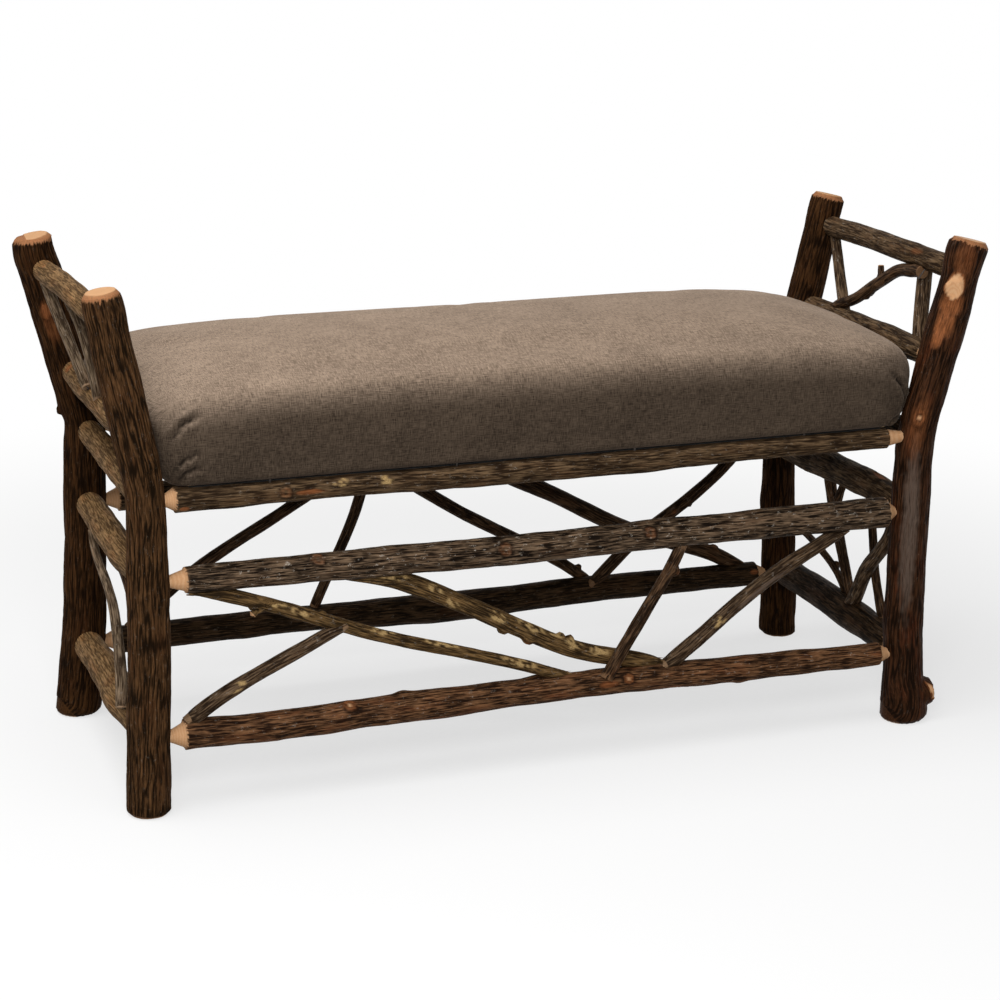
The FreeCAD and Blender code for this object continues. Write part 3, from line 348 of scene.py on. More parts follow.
class StageLooks(PropertyGroup):
    """Floor, backdrop and lamps."""

    floor_size: length_setting("Floor size", "Length and width of the floor", 24.0, 4.0, 60.0)
    floor_colour: colour_setting(
        "Floor colour", "Pale colour of the floor and backdrop", (0.95, 0.95, 0.95))
    floor_bounce: number_setting(
        "Floor bounce", "Share of its colour that the floor throws back on to the bench", 0.55)
    shadow_share: number_setting(
        "Shadow", "How much of the bench's shadow shows on the white floor", 0.35)
    white_start: length_setting(
        "White from", "Distance from the bench's middle where the floor starts to turn white",
        0.95, 0.0, 10.0)
    white_full: length_setting(
        "White by", "Distance from the bench's middle where the floor is plain white", 2.2, 0.1, 20.0)
    key_power: power_setting("Key lamp", "Power of the large lamp above the front left", 90.0)
    fill_power: power_setting("Fill lamp", "Power of the lamp beside the camera", 60.0)
    room_light: number_setting("Room light", "Strength of the even light from all round", 0.25, 0.0, 2.0)


def smooth(low, high, value):
    """0 below low, 1 above high, and an even curve between."""
    share = np.clip((value - low) / (high - low), 0.0, 1.0)
    return share * share * (3.0 - 2.0 * share)


def name_seed(name, extra=0):
    """The same whole number each time for one name."""
    return sum((place + 1) * ord(letter) for place, letter in enumerate(name)) + 7919 * extra


def log_noise(turn, run, cells, seed):
    """Smooth noise from -1 to 1 that closes on itself round a log, with this many cells round it."""
    run = run - run.min()
    cells = max(int(cells), 2)
    dice = np.random.default_rng(seed)
    slope = dice.uniform(0.0, FULL_TURN, (int(run.max()) + 3, cells))
    across = np.mod(turn, 1.0) * cells
    column = np.floor(across).astype(int)
    row = np.floor(run).astype(int)
    part_across = across - column
    part_along = run - row

    def corner(step_across, step_along):
        angle = slope[row + step_along, (column + step_across) % cells]
        return np.cos(angle) * (part_across - step_across) + np.sin(angle) * (part_along - step_along)

    ease_across = part_across ** 3 * (part_across * (part_across * 6.0 - 15.0) + 10.0)
    ease_along = part_along ** 3 * (part_along * (part_along * 6.0 - 15.0) + 10.0)
    near = corner(0, 0) * (1.0 - ease_across) + corner(1, 0) * ease_across
    far = corner(0, 1) * (1.0 - ease_across) + corner(1, 1) * ease_across
    return 1.5 * (near * (1.0 - ease_along) + far * ease_along)


def camera_turn():
    """The camera's right, up and forward directions."""
    level = math.cos(camera_tilt)
    aside = math.sin(camera_heading)
    ahead = math.cos(camera_heading)
    forward = Vector((aside * level, ahead * level, -math.sin(camera_tilt)))
    right = Vector((ahead, -aside, 0.0))
    up = right.cross(forward)
    rolled_right = math.cos(camera_roll) * right + math.sin(camera_roll) * up
    rolled_up = math.cos(camera_roll) * up - math.sin(camera_roll) * right
    return rolled_right, rolled_up, forward


def pixel_ray(across, down):
    """The direction from the camera through a pixel of the photograph."""
    right, up, forward = camera_turn()
    middle = picture_size / 2.0
    ray = forward + right * ((across - middle) / picture_focal_length)
    return (ray + up * ((middle - down) / picture_focal_length)).normalized()


def pixel_miss(points, outward, across, down):
    """How far each point passes from the ray through a pixel, with points that face away put last."""
    ray = np.array(pixel_ray(across, down))
    offset = points - np.array(camera_place)
    miss = np.linalg.norm(offset - (offset @ ray)[..., None] * ray, axis=-1)
    return np.where(outward @ ray < -0.05, miss, miss + 1.0)


def crossways(way):
    """Two directions square to a way and to each other."""
    aside = Vector((1.0, 0.0, 0.0)) if abs(way.x) < 0.8 else Vector((0.0, 1.0, 0.0))
    first = (aside - way * aside.dot(way)).normalized()
    return first, way.cross(first)


def ring_reach(tree, centre, first, second, count, far, inward=True):
    """How far the wood reaches from a centre, count times round; nan where nothing is met.

    Rays come from outside, because nail and screw holes run through the middle of a log. They start
    inside only on a side branch, which its twig would hide.
    """
    reach = np.full(count, np.nan)
    for step in range(count):
        turn = FULL_TURN * step / count
        way = first * math.cos(turn) + second * math.sin(turn)
        if inward:
            hit = tree.ray_cast(centre + way * far, -way, 2.0 * far)
        else:
            hit = tree.ray_cast(centre, way, far)
        if hit[0] is not None:
            reach[step] = far - hit[3] if inward else hit[3]
    return reach


def ring_middle(tree, centre, way, far):
    """The middle of the log's section near a centre, and its usual radius."""
    usual = 0.0
    rays = 24
    turns = FULL_TURN * np.arange(rays) / rays
    for _ in range(2):
        first, second = crossways(way)
        reach = ring_reach(tree, centre, first, second, rays, far)
        usual = float(np.nanmedian(reach)) if np.isfinite(reach).any() else 0.0
        if usual <= 0.0:
            return centre, 0.0
        reach = np.clip(np.where(np.isfinite(reach), reach, usual), 0.75 * usual, 1.2 * usual)
        square = (reach ** 2).sum()
        along_first = float((reach ** 3 * np.cos(turns)).sum() / square) * 2.0 / 3.0
        along_second = float((reach ** 3 * np.sin(turns)).sum() / square) * 2.0 / 3.0
        centre = centre + first * along_first + second * along_second
    return centre, usual


def walk_heart(tree, start, way, low, high, main_way, far, stride=0.006):
    """Middle points of a log from a start to its end, found ring by ring."""
    points = []
    centre, usual = ring_middle(tree, start, way, far)
    while len(points) < 400:
        points.append(centre)
        guess = centre + way * stride
        reach_along = guess.dot(main_way)
        if not low < reach_along < high:
            break
        moved, radius = ring_middle(tree, guess, way, far)
        if radius < 0.35 * usual or (moved - guess).length > 0.5 * usual:
            moved = guess
        else:
            usual = 0.8 * usual + 0.2 * radius
        way = (way * 0.75 + (moved - centre).normalized() * 0.25).normalized()
        centre = moved
    return points


def settle_inside(tree, point, way, far):
    """Moves a point beside a crooked log to inside it."""
    rays = 48
    for _ in range(4):
        first, second = crossways(way)
        found = []
        for step in range(rays):
            turn = FULL_TURN * step / rays
            side = first * math.cos(turn) + second * math.sin(turn)
            hit = tree.ray_cast(point + side * far, -side, 2.0 * far)
            if hit[0] is not None:
                found.append(hit[0])
        if not found:
            break
        point = sum(found, Vector()) / len(found)
    return point


def mesh_vectors(mesh, kind):
    """A mesh's places or normals as rows of three."""
    values = np.empty(len(mesh.vertices) * 3)
    mesh.vertices.foreach_get(kind, values)
    return values.reshape(-1, 3)


def wear_values(mesh, name, values):
    """Gives a mesh an attribute of its own, one value or vector for each point."""
    vector = values.ndim == 2
    layer = mesh.attributes.new(name, "FLOAT_VECTOR" if vector else "FLOAT", "POINT")
    layer.data.foreach_set("vector" if vector else "value", values.ravel().astype(np.float32))


def node_points(name):
    """The corners of a CAD node's mesh."""
    return mesh_vectors(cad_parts[name].data, "co")


def node_tree(name):
    """A CAD node's surface, for rays. It is measured while the node still shows, and kept."""
    if name not in measured_nodes:
        depsgraph = bpy.context.evaluated_depsgraph_get()
        measured_nodes[name] = BVHTree.FromObject(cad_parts[name], depsgraph)
    return measured_nodes[name]


class Heart:
    """The middle line of a log, with a place and two cross directions at any run along it."""

    def __init__(self, points):
        line = np.array([list(point) for point in points])
        for _ in range(3):
            line[1:-1] = 0.25 * line[:-2] + 0.5 * line[1:-1] + 0.25 * line[2:]
        steps = np.linalg.norm(np.diff(line, axis=0), axis=1)
        self.runs = np.concatenate([[0.0], np.cumsum(steps)])
        self.line = line
        self.length = float(self.runs[-1])
        ways = np.gradient(line, self.runs, axis=0)
        self.ways = ways / np.linalg.norm(ways, axis=1)[:, None]
        first = np.array(crossways(Vector(self.ways[0]))[0])
        firsts = []
        for way in self.ways:
            first = first - way * first.dot(way)
            first = first / np.linalg.norm(first)
            firsts.append(first)
        self.firsts = np.array(firsts)

    def at(self, runs):
        """Places, ways and cross directions at these runs."""

        def pick(table):
            return np.stack([np.interp(runs, self.runs, table[:, axis]) for axis in range(3)], 1)

        def unit(table):
            return table / np.linalg.norm(table, axis=1)[:, None]

        ways = unit(pick(self.ways))
        firsts = pick(self.firsts)
        firsts = unit(firsts - ways * (firsts * ways).sum(1)[:, None])
        return pick(self.line), ways, firsts, np.cross(ways, firsts)


def log_clearance(name):
    """A distance from a log's middle line that lies just outside its bark."""
    if name in POSTS:
        return 0.06
    return 0.03 if "twig" in name else 0.045


def node_heart(name, tree):
    """The middle line of a CAD node that is one long log."""
    points = node_points(name)
    middle = points.mean(0)
    spread = np.linalg.svd(points - middle, full_matrices=False)[2]
    main = spread[0] if spread[0][np.argmax(np.abs(spread[0]))] > 0 else -spread[0]
    reach = points @ main
    far = log_clearance(name)
    centre = middle + main * ((reach.min() + reach.max()) / 2.0 - middle @ main)
    way = Vector(main)
    widest_bend = 0.12
    start = settle_inside(tree, Vector(centre), way, widest_bend)
    start, usual = ring_middle(tree, start, way, far)
    margin = 0.45 * usual if "twig" in name else 0.003
    low = reach.min() + margin
    high = reach.max() - margin
    ahead = walk_heart(tree, start, way, low, high, way, far)
    behind = walk_heart(tree, start, -way, low, high, way, far)
    return Heart(behind[:0:-1] + ahead)


def end_rows(tree, place, way, first, second, reach, turns):
    """Rows of points over the end of a log, from its rim to its middle, and the middle point."""
    rows = []
    middle_hit = tree.ray_cast(place, way, end_reach)
    middle_run = middle_hit[3] if middle_hit[0] is not None else 0.002
    for share in END_SHARES:
        row = []
        for turn, radius in zip(turns, reach):
            side = first * math.cos(turn) + second * math.sin(turn)
            origin = place + side * (radius * share)
            hit = tree.ray_cast(origin, way, end_reach)
            run = hit[3] if hit[0] is not None else middle_run
            row.append(list(origin + way * min(run, middle_run + 2.0 * radius)))
        rows.append(row)
    return np.array(rows), np.array(place + way * middle_run)


def fill_holes(reach, usual):
    """Bridges the places where a ring found a hole, from the rings above and below it."""
    rows = np.arange(reach.shape[0])
    for column in range(reach.shape[1]):
        good = np.isfinite(reach[:, column])
        if good.any():
            reach[:, column] = np.interp(rows, rows[good], reach[good, column])
        else:
            reach[:, column] = usual
    return reach


class LogSkin:
    """The measured skin of a log: rows of points round it, and what each point wears."""

    def __init__(self, name, tree, heart, mesh_round, mesh_along, top=1.24, inward=True):
        self.name = name
        far = log_clearance(name)
        centre, _, first, second = (Vector(part[0]) for part in heart.at(np.array([heart.length / 2.0])))
        usual = float(np.nanmedian(ring_reach(tree, centre, first, second, 24, far, inward)))
        count = max(int(FULL_TURN * usual / mesh_round / 2.0) * 2, 16)
        fine = mesh_along * 0.35
        zone = min(0.05, heart.length * 0.2)
        ends = np.arange(0.0, zone, fine)
        inner = np.arange(zone, heart.length - zone, mesh_along)
        runs = np.concatenate([ends, inner, heart.length - ends[::-1]])
        self.turns = FULL_TURN * np.arange(count) / count
        places, ways, firsts, seconds = heart.at(runs)
        reach = np.empty((len(runs), count))
        for row in range(len(runs)):
            reach[row] = ring_reach(
                tree, Vector(places[row]), Vector(firsts[row]), Vector(seconds[row]), count, far, inward
            )
        middles = np.nanmedian(reach, axis=1)
        window = max(int(0.02 / mesh_along), 3)
        padded = np.pad(middles, window, mode="edge")
        typical = np.array([np.nanmedian(padded[row:row + 2 * window + 1]) for row in range(len(runs))])
        holes = reach < 0.8 * middles[:, None]
        if name in POSTS:
            holes |= reach < 0.82 * typical[:, None]
            holes[:4] = False
            holes[-4:] = False
        reach[holes] = np.nan
        reach = fill_holes(reach, usual)
        reach = np.minimum(reach, (top * np.nanmedian(reach, axis=1))[:, None])
        self.runs = runs
        self.reach = reach
        self.places = places
        self.ways = ways
        self.firsts = firsts
        self.seconds = seconds
        self.usual = usual
        self.start_rows, self.start_point = end_rows(
            tree, *map(Vector, (places[0], -ways[0], firsts[0], seconds[0])), reach[0], self.turns
        )
        self.end_rows, self.end_point = end_rows(
            tree, *map(Vector, (places[-1], ways[-1], firsts[-1], seconds[-1])), reach[-1], self.turns
        )

    def sides(self):
        """The outward directions at every point of the body rows."""
        cosine = np.cos(self.turns)[None, :, None]
        sine = np.sin(self.turns)[None, :, None]
        return self.firsts[:, None, :] * cosine + self.seconds[:, None, :] * sine

    def body(self, reach):
        """The body's points for these radii."""
        return self.places[:, None, :] + self.sides() * reach[:, :, None]

    def bare_share(self, window, edge, seed, foot, least):
        """How bare of bark each body point is, from 0 to 1: where it is thinner than its log by a share."""
        middles = np.median(self.reach, axis=1)
        widest = np.array([middles[np.abs(self.runs - run) <= window].max() for run in self.runs])
        ratio = middles / widest
        from_end = np.minimum(self.runs, self.runs[-1] - self.runs)
        if foot:
            from_end = self.runs[-1] - self.runs
        ratio = np.where(from_end < 1.2 * window, ratio, 1.0)
        turn = np.broadcast_to(self.turns / FULL_TURN, self.reach.shape)
        run = np.broadcast_to(self.runs[:, None], self.reach.shape)
        teeth = np.abs(log_noise(turn, run / 0.03, self.usual * FULL_TURN / 0.0055, seed))
        teeth = teeth + 0.5 * log_noise(turn, run / 0.02, self.usual * FULL_TURN / 0.0025, seed + 1)
        toward = np.where(self.runs < self.runs[-1] / 2.0, -1.0, 1.0)[:, None]
        shifted = run + toward * edge * (1.6 * teeth - 0.1)
        return smooth(least, least + 0.025, 1.0 - np.interp(shifted, self.runs, ratio))

    def build(self, name, reach, wears):
        """The finished mesh. wears maps an attribute to its values on the start, the body and the end."""
        count = len(self.turns)
        sharp_edge = math.radians(58.0)
        rows = np.concatenate([self.start_rows[::-1], self.body(reach), self.end_rows])
        points = np.concatenate([rows.reshape(-1, 3), [self.start_point, self.end_point]])
        points[:, 2] = np.maximum(points[:, 2], 0.0)
        row_count = len(rows)
        index = np.arange(row_count * count).reshape(row_count, count)
        ahead = np.roll(index, -1, axis=1)
        quads = np.stack([index[:-1], ahead[:-1], ahead[1:], index[1:]], -1).reshape(-1, 4)
        first_pole = row_count * count
        first_fan = np.stack([np.full(count, first_pole), ahead[0], index[0]], -1)
        last_fan = np.stack([np.full(count, first_pole + 1), index[-1], ahead[-1]], -1)
        corners = np.concatenate([quads.ravel(), first_fan.ravel(), last_fan.ravel()])
        starts = np.concatenate([np.arange(len(quads)) * 4, quads.size + np.arange(2 * count) * 3])
        mesh = bpy.data.meshes.new(name)
        mesh.vertices.add(len(points))
        mesh.vertices.foreach_set("co", points.ravel().astype(np.float32))
        mesh.loops.add(len(corners))
        mesh.loops.foreach_set("vertex_index", corners.astype(np.int32))
        mesh.polygons.add(len(starts))
        mesh.polygons.foreach_set("loop_start", starts.astype(np.int32))
        mesh.update(calc_edges=True)
        mesh.shade_smooth()
        mesh.set_sharp_from_angle(angle=sharp_edge)
        caps = (len(END_SHARES), count)
        for attribute, (on_start, on_body, on_end) in wears.items():
            on_start = np.broadcast_to(on_start, caps)[::-1]
            on_end = np.broadcast_to(on_end, caps)
            poles = [on_start[0, 0], on_end[-1, 0]]
            flat = np.concatenate([on_start.ravel(), on_body.ravel(), on_end.ravel(), poles])
            wear_values(mesh, attribute, flat)
        self.lay_grain(mesh, reach)
        return mesh

    def below_top(self):
        """How far each point of the end face lies below the plane of its middle, as on a chamfer."""
        flat = self.end_rows[END_SHARES < 0.5].reshape(-1, 3)
        middle = flat.mean(0)
        square_to = np.linalg.svd(flat - middle, full_matrices=False)[2][2]
        square_to = square_to * np.sign(square_to @ self.ways[-1])
        return (middle - self.end_rows) @ square_to

    def lay_grain(self, mesh, reach):
        """The grain attribute: across, across and along the log, in metres."""
        shares = END_SHARES[:, None]
        radii = np.concatenate([(shares * self.reach[0])[::-1], reach, shares * self.reach[-1]])
        runs = np.pad(self.runs, len(END_SHARES), mode="edge")
        runs = np.broadcast_to(runs[:, None], radii.shape)
        grain = np.stack([radii * np.cos(self.turns), radii * np.sin(self.turns), runs], -1).reshape(-1, 3)
        poles = [[0.0, 0.0, self.runs[0]], [0.0, 0.0, self.runs[-1]]]
        wear_values(mesh, "grain", np.concatenate([grain, poles]))


def mark_places(skin, marks):
    """Where on a skin each marked pixel of the photograph lies: row, turn and the mark itself."""
    body = skin.body(skin.reach)
    outward = skin.sides()
    placed = []
    for kind, across, down, half_round, half_along in marks:
        miss = pixel_miss(body, outward, across, down)
        row, column = np.unravel_index(np.argmin(miss), miss.shape)
        placed.append((kind, skin.runs[row], skin.turns[column], half_round * MM, half_along * MM))
    return placed


def spread_marks(skin, count, seed):
    """Marks at chance places, on the side that the photograph doesn't show."""
    kinds = ("bump", "eye", "knot", "scar")
    dice = np.random.default_rng(seed)
    placed = []
    for _ in range(count):
        kind = kinds[dice.integers(len(kinds))]
        row = int(dice.uniform(0.15, 0.85) * len(skin.runs))
        view = skin.places[row] - np.array(camera_place)
        hidden = np.argsort(skin.sides()[row] @ view)[-len(skin.turns) // 4:]
        column = hidden[dice.integers(len(hidden))]
        size = skin.usual * dice.uniform(0.22, 0.34)
        stretch = 2.2 if kind == "scar" else 1.2
        placed.append((kind, skin.runs[row], skin.turns[column], size, size * stretch))
    return placed


def apply_marks(skin, placed, wears, relief):
    """Adds each mark to the relief and to what the skin wears."""
    run = np.broadcast_to(skin.runs[:, None], relief.shape)
    turn = np.broadcast_to(skin.turns / FULL_TURN, relief.shape)
    girth = FULL_TURN * skin.usual

    def wear(kind, values):
        wears[kind] = np.maximum(wears[kind], values)

    for kind, at_run, at_turn, half_round, half_along in placed:
        turned = np.mod(skin.turns - at_turn + math.pi, FULL_TURN) - math.pi
        around = turned[None, :] * skin.usual / half_round
        along = (run - at_run) / half_along
        away = np.sqrt(around ** 2 + along ** 2)
        unevenness = 0.04 if kind in ("sawn", "eye") else 0.18
        wobble_seed = name_seed(skin.name, int(at_run * 1000))
        away = away * (1.0 + unevenness * log_noise(turn, run / 0.012, girth / 0.009, wobble_seed))
        swell = np.exp(-(away / 1.5) ** 2)
        if kind == "spur":
            relief += 0.0060 * np.exp(-away ** 4)
            wear("bast", 0.5 * np.exp(-(away / 0.5) ** 2))
        if kind == "bump":
            relief += 0.0035 * np.exp(-away ** 2) * min(half_round / 0.01, 1.0)
        if kind in ("eye", "knot"):
            relief += 0.0016 * np.exp(-((away - 1.0) / 0.32) ** 2) + 0.0012 * swell
            relief -= 0.0010 * np.exp(-(away / 0.5) ** 2)
            wear("ring", np.exp(-((away - 1.25) / 0.22) ** 2))
            wear("ring", 0.7 * np.exp(-((away - 0.45) / 0.08) ** 2))
            strong = 0.75 if kind == "eye" else 0.35
            wear("bast", np.exp(-((away - 0.75) / 0.25) ** 2) * strong)
        if kind == "eye":
            wear("sawn", 0.8 * smooth(0.42, 0.30, away))
        if kind == "stain":
            wear("bast", 0.35 * smooth(1.2, 0.5, away))
        # A pale mark is a painted highlight.
        if kind == "pale":
            wear("pale", smooth(1.15, 0.45, away))
        if kind == "sawn":
            relief += 0.0022 * np.exp(-((away - 1.12) / 0.2) ** 2)
            wear("sawn", smooth(1.02, 0.92, away))
            wear("bast", smooth(1.3, 1.1, away) * 0.7)
            relief *= 1.0 - 0.95 * smooth(1.0, 0.85, away)
        if kind == "scar":
            relief -= 0.0008 * smooth(1.1, 0.85, away)
            relief += 0.0006 * np.exp(-((away - 1.15) / 0.15) ** 2)
            wear("bast", 0.85 * smooth(1.2, 0.6, away))
        if kind == "lichen":
            patchy = log_noise(turn, run / 0.009, girth / 0.008, name_seed(skin.name, 5))
            wear("lichen", smooth(1.2, 0.8, away) * smooth(-0.05, 0.08, patchy))
    return relief


def bark_relief(skin, sizes, strength, width_share, seed):
    """Ridges, furrows, flakes and lumps of the bark, and how deep in a furrow each point lies."""
    turn = np.broadcast_to(skin.turns / FULL_TURN, skin.reach.shape)
    run = np.broadcast_to(skin.runs[:, None], skin.reach.shape)
    girth = FULL_TURN * skin.usual
    width = sizes.ridge_width * width_share
    length = sizes.ridge_run * (0.5 + 0.5 * width_share)
    sway = 0.2 * width / girth * log_noise(turn, run / 0.03, girth / 0.02, seed)
    broad = log_noise(turn + sway, run / length, girth / width, seed + 1)
    narrow = log_noise(turn + 1.4 * sway, run / (0.7 * length), girth / (0.5 * width), seed + 2)
    flakes = log_noise(turn, run / 0.011, girth / 0.0034, seed + 3)
    lumps = log_noise(turn, run / 0.07, 3, seed + 4)
    swell = log_noise(turn * 0.0, run / 0.045, 2, seed + 5)
    deep = np.exp(-(broad / 0.15) ** 2)
    shallow = np.exp(-(narrow / 0.2) ** 2)
    furrow = np.maximum(deep, 0.4 * shallow)
    ridges = 0.30 * np.abs(broad) + 0.16 * np.abs(narrow) - 0.62 * deep - 0.30 * shallow + 0.14 * flakes
    height = sizes.ridge_height * strength * ridges
    height = height + sizes.lump_height * (0.8 * lumps + 0.4 * swell) * min(skin.usual / 0.02, 1.0)
    return height, np.clip(furrow, 0.0, 1.0)


def near_group(points, start, gap):
    """Which points hang together with a start point, over gaps of this size."""
    group = np.zeros(len(points), bool)
    group[start] = True
    for _ in range(60):
        known = points[group]
        near = (np.linalg.norm(points[:, None, :] - known[None, :, :], axis=2).min(1) < gap) & ~group
        if not near.any():
            break
        group |= near
    return group


def stub_hearts(name, heart):
    """Straight middle lines of the side branches that stand off a twig's own line."""
    corner_gap = 0.012
    tip_zone = 0.003
    shortest, longest = 0.003, 0.06
    fewest_corners = 6
    most_in_line = 0.85
    deepest_root = 0.02
    tip_reach = 0.02
    points = node_points(name)
    line = heart.line
    gap = np.linalg.norm(points[:, None, :] - line[None, :, :], axis=2)
    nearest = gap.argmin(1)
    off = gap.min(1)
    inside = (nearest > 1) & (nearest < len(line) - 2)
    stands_off = (off > 1.5 * np.median(off)) & inside
    far = points[stands_off]
    far_off = off[stands_off]
    hearts = []
    while len(far) > fewest_corners:
        group = near_group(far, far_off.argmax(), corner_gap)
        members = far[group]
        away = far_off[group]
        tip = members[away >= away.max() - tip_zone].mean(0)
        base = members[away <= np.percentile(away, 30)].mean(0)
        way = tip - base
        length = np.linalg.norm(way)
        way = way / max(length, 1e-9)
        from_line = np.linalg.norm(line - base, axis=1)
        in_line = abs(way @ heart.ways[from_line.argmin()])
        at_tip = np.linalg.norm(far[far_off.argmax()] - tip) < tip_reach
        whole = len(members) > fewest_corners and at_tip
        if shortest < length < longest and in_line < most_in_line and whole:
            root = base - way * min(from_line.min() * 1.1, deepest_root)
            hearts.append((Vector(root), Vector(tip)))
        far = far[~group]
        far_off = far_off[~group]
    return hearts


def stub_skin(name, tree, root, tip, sizes):
    """A skin for one side branch, flared where it leaves its twig."""
    way = (tip - root).normalized()
    length = (tip - root).length
    tip_run = 0.0015
    points = [root + way * (length - tip_run) * share for share in np.linspace(0.0, 1.0, 14)]
    heart = Heart(points)
    skin = LogSkin(name, tree, heart, sizes.mesh_round, sizes.mesh_along * 0.5, top=3.0, inward=False)
    tip_radius = float(np.median(skin.reach[-6:]))
    root_share = np.exp(-skin.runs / (0.25 * skin.runs[-1] + 0.002))
    skin.reach = np.minimum(skin.reach, (tip_radius * (1.05 + 0.9 * root_share))[:, None])
    return skin


def linked(name, mesh):
    """A new object in the scene."""
    piece = bpy.data.objects.new(name, mesh)
    bpy.context.scene.collection.objects.link(piece)
    return piece


def finish_piece(piece, finish, node):
    """Gives a piece its finish, lets it ride on the bench and hides the CAD node that it stands for."""
    piece.data.materials.clear()
    piece.data.materials.append(finish)
    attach(piece, "root")
    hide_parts(node)


def joined_meshes(name, meshes):
    """One mesh from several, with their attributes kept."""
    objects = [linked(f"{name}_part_{number}", mesh) for number, mesh in enumerate(meshes)]
    for part in objects:
        part.select_set(True)
    bpy.context.view_layer.objects.active = objects[0]
    with bpy.context.temp_override(
        active_object=objects[0], selected_editable_objects=objects, selected_objects=objects
    ):
        bpy.ops.object.join()
    mesh = objects[0].data
    bpy.data.objects.remove(objects[0])
    return mesh


def dress_log(name, strength, width_share, bark, chance_marks):
    """Replaces one CAD log by its bark skin."""
    sizes = bpy.context.scene.bench_bark
    tree = node_tree(name)
    heart = node_heart(name, tree)
    post = name in POSTS
    coarse = 1.0
    skin = LogSkin(name, tree, heart, sizes.mesh_round * coarse, sizes.mesh_along * coarse)
    seed = name_seed(name)
    relief, furrow = bark_relief(skin, sizes, strength, width_share, seed)
    window = 0.012 if post else 0.055
    twig = "twig" in name
    bare = np.zeros(skin.reach.shape)
    if not twig:
        least = 0.30 if name in SIDE_RAILS else 0.035
        edge = sizes.bark_edge if post else sizes.rail_bark_edge
        bare = skin.bare_share(window, edge, seed + 11, post, least)
    wears = {kind: np.zeros(skin.reach.shape) for kind in ("bast", "ring", "lichen", "pale", "sawn")}
    placed = mark_places(skin, LOG_MARKS.get(name, []))
    placed += spread_marks(skin, chance_marks, seed + 12)
    relief = apply_marks(skin, placed, wears, relief)
    relief *= 1.0 - bare
    relief -= 0.0005 * bare
    end_fade = np.minimum(skin.runs, skin.runs[-1] - skin.runs)[:, None]
    relief *= smooth(0.0, 0.003, end_fade)
    wears["sawn"] = np.maximum(wears["sawn"], bare)
    edge_band = np.exp(-((bare - 0.5) / 0.3) ** 2) * (bare > 0.02)
    wears["bast"] = np.maximum(wears["bast"], 0.8 * edge_band)
    if post:
        wears["bast"] = np.maximum(wears["bast"], bare)
        wears["sawn"] = np.where(bare > 0.0, np.minimum(wears["sawn"], 0.22), wears["sawn"])
    worn = {kind: (0.0, on_body, 0.0) for kind, on_body in wears.items()}
    worn["furrow"] = (0.0, furrow * (1.0 - bare), 0.0)
    end_bare = 0.12 if twig else 1.0
    worn["sawn"] = (end_bare, wears["sawn"], end_bare)
    if post:
        rim = smooth(0.0004, 0.0014, skin.below_top())
        cut_foot = smooth(0.003, 0.001, skin.start_rows[:, :, 2])
        worn["bast"] = (0.0, wears["bast"], rim)
        worn["sawn"] = (cut_foot, wears["sawn"], 1.0 - 0.7 * rim)
    meshes = [skin.build(name + "_skin", skin.reach + relief, worn)]
    if twig:
        for root, tip in stub_hearts(name, heart):
            branch = stub_skin(name, tree, root, tip, sizes)
            small_relief, small_furrow = bark_relief(branch, sizes, strength * 0.6, width_share, seed + 31)
            none = np.zeros(branch.reach.shape)
            small_worn = {kind: (0.0, none, 0.0) for kind in wears}
            small_worn["furrow"] = (0.0, small_furrow, 0.0)
            small_worn["sawn"] = (0.0, none, 0.8)
            meshes.append(branch.build(name + "_stub", branch.reach + 0.5 * small_relief, small_worn))
    mesh = meshes[0] if len(meshes) == 1 else joined_meshes(name, meshes)
    finish_piece(linked(name + "_bark", mesh), bark_finish(LOG_BARKS.get(name, bark)), name)


